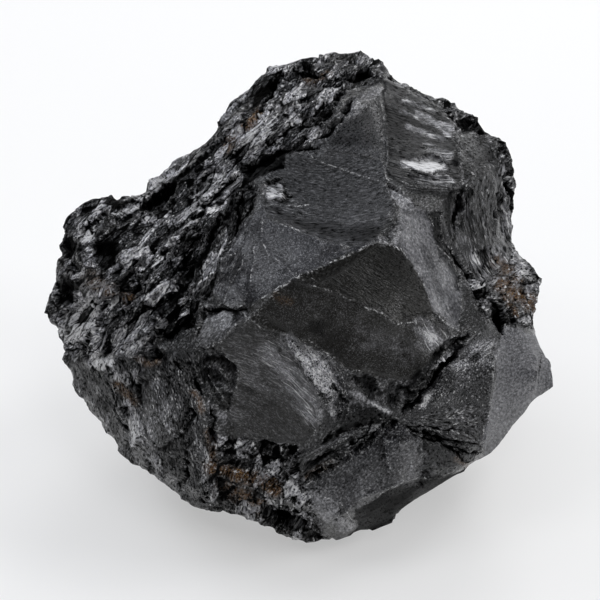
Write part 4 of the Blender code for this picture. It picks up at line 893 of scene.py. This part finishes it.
def layStreaks(marks, sighted, loose, spots, front):  # how far across and along its streak each place lies
    values = stoneShape
    layers = layerPlaces(sighted)
    spacing, length, height, more = values["layerStreaks"]
    marks["streakAcross"] = layers[:, 1] / spacing
    marks["streakAlong"] = layers[:, 0] / length
    marks["streakHeight"] = (height + more * marks["slate"]) * (1 - front)
    spacing, length, height, more = values["layerRibs"]
    ribs = (height + more * marks["slate"]) * (1 - front)
    ribSpots = np.stack([layers[:, 1] / spacing, layers[:, 0] / length, np.zeros(len(layers))], axis=1)
    for run, (spacing, length, height), (ribSpacing, ribHeight), outline in flows.values():
        weight = fade(insideDepth(loose, outline), "flow") * front
        middle = run.get("middle") or run.get("from")
        offset = (spots - np.array(middle or run.get("start", (0, 0)))) / sight["stepsPerMm"]
        if middle:
            leftward = middle[0] > values["farRight"]  # keeps the turn from wrapping within the outline
            radius = np.hypot(offset[:, 0], offset[:, 1])
            turn = np.arctan2(offset[:, 1], -offset[:, 0] if leftward else offset[:, 0])
            across, along = turn * values["rayStreak"], radius
            if "middle" in run:
                across, along = radius, turn * values["arcStreak"]
        else:
            angle = math.radians(run["angle"])
            along = math.cos(angle) * offset[:, 0] - math.sin(angle) * offset[:, 1]
            across = math.sin(angle) * offset[:, 0] + math.cos(angle) * offset[:, 1]
            across -= run.get("bend", 0) * np.clip(along, 0, None) ** 2
        inside = weight > 0.5
        marks["streakAcross"][inside] = (across / spacing)[inside]
        marks["streakAlong"][inside] = (along / length)[inside]
        ribSpots[inside, 0] = (across / ribSpacing)[inside]
        ribSpots[inside, 1] = (along / (values["ribLength"] * ribSpacing))[inside]
        edge = np.clip(2 * np.abs(weight - 0.5), 0, 1)  # nothing just on the border, where two zones meet
        faded = np.where(weight > 0, edge, 1)
        marks["streakHeight"] = np.where(inside, height * edge, marks["streakHeight"] * faded)
        ribs = np.where(inside, ribHeight * edge, ribs * faded)
    sharpness, sunk = values["ribShape"]
    ridged = 1 - 2 * np.abs(waveAt(ribSpots, "rib")) ** sharpness
    gaps = fade(waveAt(ribSpots, "gap"), "gap") * np.maximum(marks["slate"], marks["rubble"])
    # painted shade: the gaps between the slate's layers are painted black
    marks["crack"] = values["gapDark"] * gaps
    return ribs * (ridged - sunk) - values["gapDepth"] * gaps


def nearestLine(marks, name, line, spots, front):  # keeps the side and the mm where this line is the nearest
    gap, share, side = lineGap(spots, line)
    gap = gap / sight["stepsPerMm"]
    closer = (gap < np.abs(marks[name])) & (gap < stoneShape["markWidth"]) & (front > 0.5)
    marks[name] = np.where(closer, side * gap, marks[name])
    return gap, share, closer


def wanderAt(places):  # grid steps by which marks wander, so that edges aren't ruler-straight
    ways = (("right", "fineRight"), ("up", "fineUp"))
    return np.stack([waveAt(places, coarse) + waveAt(places, fine) for coarse, fine in ways], axis=1)


def layBreaks(places, sighted, loose, front):  # what each break and each hidden side is made of
    # each break's painted light, painted highlight above 0 and painted shade below, is blended in too
    blended = ("grit", "tone", "slate", "rubble", "gleam", "satin")
    marks = {name: np.zeros(len(places)) for name in (*blended, "rust", "edgeWhite", "crackWidth")}
    for name in ("edgeSide", "crackSide"):
        marks[name] = np.full(len(places), stoneShape["farAway"])
    slate, rubble = hiddenSides(places, sighted)
    clean, more = stoneShape["hiddenGrit"]
    behind = {"grit": clean + more * rubble, "tone": waveAt(places, "tone"), "slate": slate, "rubble": rubble}
    for name, value in behind.items():
        marks[name] = value * (1 - front)
    marks["grit"] += stoneShape["frontGrit"] * front
    for given, outline in breaks.values():
        weight = fade(insideDepth(loose, outline), "break") * front
        for name in blended:
            marks[name] = marks[name] * (1 - weight) + given.get(name, 0.0) * weight
    return marks


def raiseRock(marks, places, sighted, wander, front):  # slate breaks off in steps and plates, rubble in chips
    values = stoneShape
    layers = layerPlaces(sighted)
    warp = waveAt(places, "warp") + waveAt(places, "fineWarp")
    step = (layers[:, 1] + warp) / values["layerSpacing"]
    run = waveAt(layers / np.array(values["layerStretch"]), "layerRun")
    slateRise = values["layerHeight"] * (0.5 - step + np.floor(step)) * (0.5 + fade(run, "layerRun"))
    plateSpots = (layers + values["plateWarp"] * warp[:, None]) / np.array(values["plateSize"])
    slateRise += chipAt(plateSpots, values["plateLean"])
    size, fine = values["rubbleSize"], values["rubbleFine"]
    coarseShift, fineShift = values["rubbleShifts"]
    rubbleRise = chipAt(places / size, values["rubbleLean"], coarseShift)
    rubbleRise += fine * chipAt(places / (size * fine), values["rubbleLean"], fineShift)
    uneven = waveAt(places, "uneven") + waveAt(places, "fineUneven")
    plainness = np.clip(1 - marks["slate"] - marks["rubble"], 0, 1)
    rise = slateRise * marks["slate"] + rubbleRise * marks["rubble"] + uneven * plainness
    rise += (waveAt(places, "grit") + waveAt(places, "fineGrit")) * marks["grit"] + values["swell"] * front
    bowls, ridges = scallopAt(places + values["wanderShares"]["bowls"] * wander[:, :1])
    hiddenPlain = (1 - front) * plainness
    bowled = hiddenPlain > values["scallopShare"]
    # the ridges where bowls meet get white dots, partly crushed powder and partly painted highlight
    marks["edgeSide"] = np.where(bowled, ridges, marks["edgeSide"])
    marks["edgeWhite"] = np.where(bowled, values["scallopWhite"], marks["edgeWhite"])
    return rise + values["scallopDepth"] * bowls * hiddenPlain


def leanPlates(marks, rise, spots, loose, front):  # small faces that lean in their own way, each with painted highlight or painted shade of its own
    values = stoneShape
    for gleam, lean, soft, outline in plates.values():
        weight = ramp(insideDepth(loose, outline), values["plateBorder"], soft) * front
        offset = (spots - np.array(outline).mean(axis=0)) / sight["stepsPerMm"] * np.array([1, -1])
        tilt = np.clip(offset @ np.array(lean), -values["plateStep"], values["plateStep"])
        rise = rise * (1 - values["plateFlat"] * weight) - weight * tilt
        marks["gleam"] = marks["gleam"] * (1 - weight) + gleam * weight
    return rise


def addPaintedHighlights(marks, places, loose, front):
    # painted highlight along each listed line, and then a wandering of the painted light everywhere
    for line, reach, strong in paintedHighlights.values():
        weight = (1 - fade(lineGap(loose, line)[0] / reach, "gleam")) * front
        marks["gleam"] += weight * np.maximum(strong - marks["gleam"], 0)
    marks["gleam"] += waveAt(places, "gleam") + waveAt(places, "finePaintedLight")


def hollowDepth(marks, spots, unequal, front):
    atLeast, more = stoneShape["hollowUnequal"]
    total = np.zeros(len(spots))
    for outline, depth, dark in hollows.values():
        inside = insideDepth(spots, outline)
        total += depth * fade(inside, "hollow") * front * (atLeast + more * unequal)
        # painted shade: the hollows are painted dark
        marks["crack"] = np.maximum(marks["crack"], dark * fade(inside, "hollowDark") * front)
    return total


def crackDepth(marks, spots, unequal, front):
    values = stoneShape
    (atEnds, inMiddle), end = values["crackTaper"], values["crackEnd"]
    total = np.zeros(len(spots))
    for line, halfWidth, depth in cracks.values():
        gap, share, closer = nearestLine(marks, "crackSide", line, spots, front)
        taper = atEnds + inMiddle * np.sin(math.pi * np.clip(share, end, 1 - end)) ** 0.5
        width = halfWidth * taper * unequal
        weight = np.clip(1 - gap / width, 0, 1) * front
        total += depth * np.minimum(width / halfWidth, 1) * weight ** values["crackRound"]
        marks["crackWidth"] = np.where(closer, values["crackCore"] * width, marks["crackWidth"])
    return total


def edgeHeight(marks, spots, front):
    total = np.zeros(len(spots))
    for line, white in crushedEdges.values():
        gap, _, closer = nearestLine(marks, "edgeSide", line, spots, front)
        marks["edgeWhite"] = np.where(closer, white, marks["edgeWhite"])
        total += stoneShape["edgeSwell"] * np.clip(1 - gap / stoneShape["edgeRidge"], 0, 1) * front
    return total


def addStains(marks, loose, front):
    for line, reach, strong in stains.values():
        rusty = strong * (1 - fade(lineGap(loose, line)[0] / reach, "stain")) * front
        marks["rust"] = np.maximum(marks["rust"], rusty)


def carveStone(shape):
    shares = stoneShape["wanderShares"]
    places, normals = readMesh(shape)
    sighted = toSight(places)
    spots, front = toGrid(sighted), frontWeight(normals)
    wander = wanderAt(places)
    loose = spots + wander
    marks = layBreaks(places, sighted, loose, front)
    rise = layStreaks(marks, sighted, loose, spots + shares["streaks"] * wander, front)
    print("breaks laid out")
    rise += raiseRock(marks, places, sighted, wander, front)
    print("slate and rubble raised")
    rise = leanPlates(marks, rise, spots, loose, front)
    addPaintedHighlights(marks, places, loose, front)
    usual, least, most = stoneShape["crackUnequal"]
    unequal = np.clip(usual + waveAt(places, "unequal"), least, most)
    rise -= hollowDepth(marks, spots + shares["hollows"] * wander, unequal, front)
    wrapped = fade(normals @ towardsStation, "wrapped")  # goes on round the outline
    for outline, depth in notches.values():
        rise -= depth * fade(insideDepth(spots, outline), "notch") * wrapped
    rise -= crackDepth(marks, loose, unequal, front)
    rise += edgeHeight(marks, spots + shares["edges"] * wander, front)
    addStains(marks, loose, front)
    rise = rise * fade(places[:, 2], "foot")  # the face it stands on stays flat
    places += normals * rise[:, None]
    places[:, 2] = np.maximum(places[:, 2], 0.0)
    moveMesh(shape, places)
    print("cracks, edges and stains cut")
    return finishMarks(marks, crestAt(shape), sighted)


def finishMarks(marks, crest, sighted):  # what the finish reads, from what was carved
    values = shungiteFinish
    black, warm, cool = (np.array(hexColour(values[name])) for name in ("black", "warmBlack", "coolGrey"))
    crack, tone, gleam, slate, rubble = map(marks.pop, ("crack", "tone", "gleam", "slate", "rubble"))
    cooler, warmer = np.clip(tone, 0, 1)[:, None], np.clip(-tone, 0, 1)[:, None]
    marks["rockColour"] = black + cooler * (cool - black) + warmer * (warm - black)
    marks["paintedShine"] = np.clip(gleam, 0, 2)  # painted highlight; more than 1 is painted white
    # painted shade: a darker colour, and a rougher finish
    marks["paintedShade"] = np.clip(-gleam, 0, 1)
    # sharp crests, which the finish paints with glints
    marks["tip"] = np.clip(crest, 0, 1)
    # painted shade in the slate's gaps, in hollows and in concave places
    marks["shade"] = np.maximum(values["gapShade"] * crack, np.clip(-values["hollowShade"] * crest, 0, 1))
    marks["seamed"] = np.clip(slate + rubble * (1 - np.clip(gleam, 0, 1)), 0, 1)
    plain, gleaming, unsatin = values["facetShare"]
    facet = (plain + gleaming * gleam) * (1 - unsatin * marks["satin"])
    marks["facet"] = np.clip(slate + values["rubbleFacet"] * rubble + facet, 0, 1)
    marks["streakOut"] = sighted[:, 2] / values["streakDepth"]
    return marks


def crestAt(shape):  # above 0 on ridges and below 0 in hollows, about 1 where they are sharp
    places, normals = readMesh(shape)
    pairs = np.array([[v.index for v in edge.verts] for edge in shape.edges])
    count = np.bincount(pairs.ravel(), minlength=len(places))[:, None]
    length = np.linalg.norm(places[pairs[:, 0]] - places[pairs[:, 1]], axis=1)
    reach = sum(np.bincount(pairs[:, end], length, len(places)) for end in (0, 1)) / count[:, 0]
    bend = np.einsum("ij,ij->i", places - neighbourSum(places, pairs) / count, normals) / reach
    soft = bend
    for _ in range(2):
        soft = 0.5 * soft + 0.5 * (neighbourSum(soft[:, None], pairs) / count)[:, 0]
    sharpBend, softBend = shungiteFinish["crestBends"]
    return np.clip(0.5 * bend / sharpBend + 0.5 * soft / softBend, -1, 1)


def buildStone():
    mesh, shape = copyOfSolid()
    cutEvenly(shape)
    print("cut to", len(shape.faces))
    smoothBreaks(shape)
    cutMarks(shape)
    marks = carveStone(shape)
    shape.to_mesh(mesh)
    shape.free()
    for name, values in marks.items():
        isColour = values.ndim == 2
        layer = mesh.attributes.new(name, "FLOAT_COLOR" if isColour else "FLOAT", "POINT")
        layer.data.foreach_set("color" if isColour else "value", values.astype(np.float32).ravel())
    stone = bpy.data.objects.new("shungiteStone", mesh)
    bpy.context.scene.collection.objects.link(stone)
    mesh.shade_smooth()
    mesh.set_sharp_from_angle(angle=stoneShape["sharpAngle"])
    print("stone meshed with", len(mesh.polygons), "triangles")
    return stone


# How the stone's finish reads the marks.
shungiteFinish = {
    "black": "#131415",
    "warmBlack": "#13120E",
    "coolGrey": "#18191F",
    # painted highlight grey, white of crushed powder and painted highlight, black of painted shade and seams
    "paintedSheenGrey": "#8E8E92",
    "powderAndHighlightWhite": "#D4D4D5",
    "rustBrown": "#5A3A18",
    "rustGold": "#A2834C",
    "paintedShadeAndSeamBlack": "#030303",
    "roughnessClean": 0.1,
    "roughnessGritty": 0.12,  # what grit adds
    "roughnessCloudy": 0.2,
    "roughnessSatin": 0.5,
    "roughnessChalky": 0.8,
    "ior": 1.46,
    "crestBends": (0.3, 0.15),  # how far a sharp crest and a soft one bend
    "gapShade": 0.85,
    "hollowShade": 0.75,
    "rubbleFacet": 0.9,
    "facetShare": (0.1, 0.25, 0.8),  # on plain breaks, where painted light is marked, and what satin ones lose
    "streakDepth": 3.0,  # mm
    "noises": {  # mm across and detail, drawn a little coarser than the real grain so that it shows
        "cloud": (6.0, 3),
        "gaps": (2.2, 2),
        "speck": (0.45, 2),
        "fine": (0.22, 2),
        "grain": (0.34, 3),
    },
    "streakNoises": {  # stretch along the streaks, scale, detail and roughness
        "streak": ((1.0, 1.0, 1.0), 1.3, 3.0, 0.6),
        "thread": ((1.0, 1.0, 1.0), 0.4, 1.0, 0.4),
        "spark": ((1.7, 6.0, 1.0), 1.3, 2.0, 0.6),  # shorter than the streaks, as grains are
        "fleck": ((1.0, 3.5, 1.0), 1.3, 2.0, 0.5),
    },
    "steps": {  # a pattern or a mark, how sharply it turns from none to all, and a shift
        "light": ("spark", 9.0, -4.9),
        "pit": ("spark", -9.0, 4.1),
        "even": ("spark", 7.0, -3.0),
        "wisp": ("streak", 12.0, -6.9),
        "whole": ("streak", 9.0, -4.0),
        "broken": ("gaps", 6.0, -2.6),
        "seamBroken": ("gaps", 6.0, -2.1),
        "patch": ("speck", 4.5, -1.4),
        "glint": ("speck", 9.0, -4.9),
        "dots": ("speck", 7.0, -3.2),
        "grainy": ("grit", 1.3, 0.1),
        "coarse": ("grit", 3.0, -1.2),
        "thready": ("paintedShine", 2.0, -0.2),
        "paintedWhiteHighlight": ("paintedShine", 1.1, -1.1),
    },
    "threadStep": (-24.0, 1.15),
    "fleckStep": (14.0, -8.82),
    "fleckShine": 0.07,
    "seamStep": (-12.0, 1.1),
    "edgeStep": (-1 / 0.15, 1.25),  # over the mm from the line to where the white powder ends
    "crackStep": (8.0, 0.3),
    "plateShape": (1.1, 3.4, 1.0),  # shortens the plates, which would be as slim as the streaks
    "facets": {  # size (mm for the chip, streaks for the others), lean, and share of the tone
        "plate": (4.0, 0.8, 1.3),
        "flake": (1.7, 0.5, 0.7),
        "chip": (0.6, 0.4, 0.0),
    },
    "facetContrast": (2.8, 0.3),
    # how much painted highlight grey goes on facets, on marked highlights, on grains as painted glints, in
    # streaks
    "facetGrey": 0.4,
    "paintedShineGrey": 0.3,
    "unevenGrey": (1.2, -0.5),
    "grainGlintGrey": 0.52,
    "glintGrey": 0.45,
    "gritGlint": 0.08,
    "wispGrey": (4.5, 1.4),
    "threadWhite": 4.0,
    "tipWhite": 0.4,
    "goldShare": 0.6,
    "paintedShadeDark": 0.8,
    "rustDark": -0.8,
    "facetDark": -0.45,
    "seamDark": 0.8,
    "pitDark": 1.0,
    "lustre": 0.8,  # graphite on the slate's facets shines as a metal does
    "grainHeight": 0.04,
    "gritHeight": 0.12,
    "fineHeight": 0.02,
    "streakSteepness": 3.0,
}


def shungite():
    # glassy carbon rock broken by hammer: clean breaks gleam like pitch, rough ones glint grain by grain
    finish = shungiteFinish
    material = bpy.data.materials.new("hammerBrokenShungite")
    material.use_nodes = True
    tree = material.node_tree
    shader = tree.nodes["Principled BSDF"]
    calc, vector, mix, noiseNode = ("ShaderNode" + kind for kind in ("Math", "VectorMath", "Mix", "TexNoise"))
    kinds = ("MULTIPLY", "MULTIPLY_ADD", "MAXIMUM", "ABSOLUTE")
    times, plus, most, size = ({"operation": kind} for kind in kinds)
    capped = {"operation": "MULTIPLY_ADD", "use_clamp": True}
    blend = {"output": 2, "data_type": "RGBA"}

    marks = {}
    for name in ("grit", "rust", "facet", "paintedShine", "paintedShade", "satin", "tip", "shade", "seamed", "edgeSide",
                 "edgeWhite", "crackSide", "crackWidth", "streakHeight", "streakAcross", "streakAlong",
                 "streakOut"):
        marks[name] = addNode(tree, "ShaderNodeAttribute", output="Fac", attribute_name=name)
    colour = addNode(tree, "ShaderNodeAttribute", output="Color", attribute_name="rockColour")
    place = addNode(tree, "ShaderNodeTexCoord", output="Object")
    millimetres = addNode(tree, vector, {"Vector": place, "Scale": 1000.0}, operation="SCALE")
    along = [marks[name] for name in ("streakAcross", "streakAlong", "streakOut")]
    along = addNode(tree, "ShaderNodeCombineXYZ", along)
    for name, (across, detail) in finish["noises"].items():
        inputs = {"Vector": millimetres, "Scale": 1 / across, "Detail": detail, "Roughness": 0.6}
        marks[name] = addNode(tree, noiseNode, inputs)
    for name, (stretch, scale, detail, rough) in finish["streakNoises"].items():
        spot = addNode(tree, vector, (along, stretch), **times)
        inputs = {"Vector": spot, "Scale": scale, "Detail": detail, "Roughness": rough}
        marks[name] = addNode(tree, noiseNode, inputs)
    for name, (source, gain, shift) in finish["steps"].items():
        marks[name] = addNode(tree, calc, (marks[source], gain, shift), **capped)

    # flat facets that each lean their own way: plates along the slate's layers, flakes and chips anywhere
    normal = addNode(tree, "ShaderNodeNewGeometry", output="Normal")
    plateSpot = addNode(tree, vector, (along, finish["plateShape"]), **times)
    facetTone = -0.5 * sum(share for _, _, share in finish["facets"].values())
    for name, (across, lean, share) in finish["facets"].items():
        inputs = {"Vector": millimetres if name == "chip" else plateSpot, "Scale": 1 / across}
        cell = addNode(tree, "ShaderNodeTexVoronoi", inputs, "Color")
        turned = addNode(tree, vector, (cell, (0.5, 0.5, 0.5)), operation="SUBTRACT")
        amount = addNode(tree, calc, (marks["facet"], lean), **times)
        turned = addNode(tree, vector, {"Vector": turned, "Scale": amount}, operation="SCALE")
        normal = addNode(tree, vector, (normal, turned), operation="ADD")
        if share:
            tone = addNode(tree, "ShaderNodeSeparateColor", (cell,))
            facetTone = addNode(tree, calc, (tone, share, facetTone), **plus)
    normal = addNode(tree, vector, (normal,), operation="NORMALIZE")
    inputs = {"Vector": plateSpot, "Scale": 1 / finish["facets"]["plate"][0]}
    seam = addNode(tree, "ShaderNodeTexVoronoi", inputs, feature="DISTANCE_TO_EDGE")
    seam = addNode(tree, calc, (seam, *finish["seamStep"]), **capped)
    for name in ("seamed", "seamBroken"):
        seam = addNode(tree, calc, (seam, marks[name]), **times)
    bright = addNode(tree, calc, (facetTone,), **size)
    bright = addNode(tree, calc, (bright, *finish["facetContrast"]), **plus)
    facetTone = addNode(tree, calc, (facetTone, bright), **times)  # most are dull, and a few are bright
    # painted highlight, with each facet's random tone added
    paintedShine = addNode(tree, calc, (facetTone, marks["facet"], marks["paintedShine"]), **plus)
    paintedShine = addNode(tree, calc, (paintedShine, 0.0), **most)

    # rust sits in patches, brown with golden grains
    patch = addNode(tree, calc, (marks["patch"], marks["rust"]), **times)
    golden = addNode(tree, calc, (marks["fine"], finish["goldShare"]), operation="GREATER_THAN")
    brown, gold = hexColour(finish["rustBrown"]), hexColour(finish["rustGold"])
    rusty = addNode(tree, mix, {0: golden, 6: brown, 7: gold}, **blend)
    colour = addNode(tree, mix, {0: patch, 6: colour, 7: rusty}, **blend)

    # painted highlight: grey is painted on grains as glints, in streaks, and where highlight is marked
    thread = addNode(tree, calc, (marks["thread"], -0.5), operation="ADD")
    thread = addNode(tree, calc, (thread,), **size)
    thread = addNode(tree, calc, (thread, *finish["threadStep"]), **capped)
    for name in ("thready", "whole"):  # only where painted highlight is marked, and none runs far
        thread = addNode(tree, calc, (thread, marks[name]), **times)
    wisp = addNode(tree, calc, (marks["wisp"], thread), **most)
    strong = addNode(tree, calc, (paintedShine, *finish["wispGrey"]), **plus)
    for other in (marks["streakHeight"], strong):
        wisp = addNode(tree, calc, (wisp, other), **times)
    paintedGrainGlints = addNode(tree, calc, (marks["light"], marks["grainy"]), **times)
    glinting = addNode(tree, calc, (marks["grit"], finish["gritGlint"]), **times)
    glinting = addNode(tree, calc, (paintedShine, finish["glintGrey"], glinting), **plus)
    uneven = addNode(tree, calc, (marks["even"], *finish["unevenGrey"]), **plus)
    uneven = addNode(tree, calc, (uneven, marks["grainy"], 1.0), **plus)
    grey = addNode(tree, calc, (marks["facet"], finish["facetGrey"], finish["paintedShineGrey"]), **plus)
    for other in (paintedShine, uneven):
        grey = addNode(tree, calc, (grey, other), **times)
    grey = addNode(tree, calc, (paintedGrainGlints, finish["grainGlintGrey"], grey), **plus)
    grey = addNode(tree, calc, (marks["glint"], glinting, grey), **plus)
    grey = addNode(tree, calc, (grey, wisp), **most)
    unshaded = addNode(tree, calc, (1.0, marks["paintedShade"]), operation="SUBTRACT", use_clamp=True)
    grey = addNode(tree, calc, (grey, unshaded), use_clamp=True, **times)
    colour = addNode(tree, mix, {0: grey, 6: colour, 7: hexColour(finish["paintedSheenGrey"])}, **blend)

    # crushed edges get white dots, partly powder of the same rock and partly painted highlight
    edge = addNode(tree, calc, (marks["edgeSide"],), **size)
    edge = addNode(tree, calc, (edge, *finish["edgeStep"]), **capped)
    for name in ("broken", "dots", "edgeWhite"):
        edge = addNode(tree, calc, (edge, marks[name]), **times)
    # painted glints: sharp tips and single grains are painted white
    paintedTipGlints = addNode(tree, calc, (marks["tip"], marks["glint"]), **times)
    fleck = addNode(tree, calc, (paintedShine, finish["fleckShine"], marks["fleck"]), **plus)
    fleck = addNode(tree, calc, (fleck, *finish["fleckStep"]), **capped)
    for other in (marks["coarse"], unshaded):
        fleck = addNode(tree, calc, (fleck, other), **times)
    white = addNode(tree, calc, (fleck, edge), **most)
    white = addNode(tree, calc, (paintedTipGlints, finish["tipWhite"], white), **capped)
    # painted white where the painted highlight is strongest, and on the threads
    paintedWhiteHighlight = addNode(tree, calc, (marks["paintedWhiteHighlight"], uneven), use_clamp=True, **times)
    threadWhite = addNode(tree, calc, (thread, marks["streakHeight"]), **times)
    threadWhite = addNode(tree, calc, (threadWhite, finish["threadWhite"]), use_clamp=True, **times)
    for other in (paintedWhiteHighlight, threadWhite):
        white = addNode(tree, calc, (white, other), **most)
    colour = addNode(tree, mix, {0: white, 6: colour, 7: hexColour(finish["powderAndHighlightWhite"])}, **blend)

    # painted shade: cracks, gaps and hollows are painted black; dark seams and pits are the rock's own
    gap = addNode(tree, calc, (marks["crackSide"],), **size)
    gap = addNode(tree, calc, (marks["crackWidth"], gap), operation="SUBTRACT")
    crack = addNode(tree, calc, (gap, *finish["crackStep"]), **capped)
    dark = addNode(tree, calc, (crack, marks["shade"]), **most)
    dark = addNode(tree, calc, (marks["paintedShade"], finish["paintedShadeDark"], dark), **capped)
    rustFree = addNode(tree, calc, (patch, finish["rustDark"], 1.0), **plus)  # rust covers the dark
    dark = addNode(tree, calc, (dark, rustFree), **times)
    turned = addNode(tree, calc, (facetTone, marks["facet"]), **times)
    pit = addNode(tree, calc, (marks["pit"], marks["grainy"]), **times)
    for other, share in ((turned, "facetDark"), (seam, "seamDark"), (pit, "pitDark")):
        dark = addNode(tree, calc, (other, finish[share], dark), **capped)
    colour = addNode(tree, mix, {0: dark, 6: colour, 7: hexColour(finish["paintedShadeAndSeamBlack"])}, **blend)
    tree.links.new(colour, shader.inputs["Base Color"])

    # clean breaks gleam, gritty and crushed ones don't
    roughness = (marks["grit"], finish["roughnessGritty"], finish["roughnessClean"])
    roughness = addNode(tree, calc, roughness, **plus)
    roughness = addNode(tree, calc, (marks["cloud"], finish["roughnessCloudy"], roughness), **plus)
    chalky = white
    for other in (patch, dark, marks["paintedShade"]):
        chalky = addNode(tree, calc, (chalky, other), **most)
    chalky = addNode(tree, calc, (chalky, finish["roughnessChalky"]), **times)
    satin = addNode(tree, calc, (marks["satin"], finish["roughnessSatin"]), **times)
    for other in (chalky, satin):
        roughness = addNode(tree, calc, (roughness, other), **most)
    tree.links.new(roughness, shader.inputs["Roughness"])
    lustre = addNode(tree, calc, (marks["facet"], finish["lustre"]), **times)
    lustre = addNode(tree, calc, (lustre, dark), **most)  # painted shade: what is painted black reflects nothing, as a black metal
    tree.links.new(lustre, shader.inputs["Metallic"])
    shader.inputs["IOR"].default_value = finish["ior"]

    # relief finer than the mesh: streaks and grain
    height = addNode(tree, calc, (marks["streak"], marks["streakHeight"]), **times)
    depth = addNode(tree, calc, (marks["grit"], finish["gritHeight"], finish["grainHeight"]), **plus)
    depth = addNode(tree, calc, (marks["grain"], depth), **times)
    height = addNode(tree, calc, (height, finish["streakSteepness"], depth), **plus)
    height = addNode(tree, calc, (marks["fine"], finish["fineHeight"], height), **plus)
    inputs = {"Height": height, "Distance": 0.001, "Strength": 1.0, "Normal": normal}
    bump = addNode(tree, "ShaderNodeBump", inputs, "Normal")
    tree.links.new(bump, shader.inputs["Normal"])
    return material


addCamera()
addFloor()
addLights()
bpy.context.scene.view_settings.view_transform = "Standard"
print("studio set")
stone = buildStone()
stone.data.materials.append(shungite())
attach(stone, "root")
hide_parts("stone")
print("stone finished")
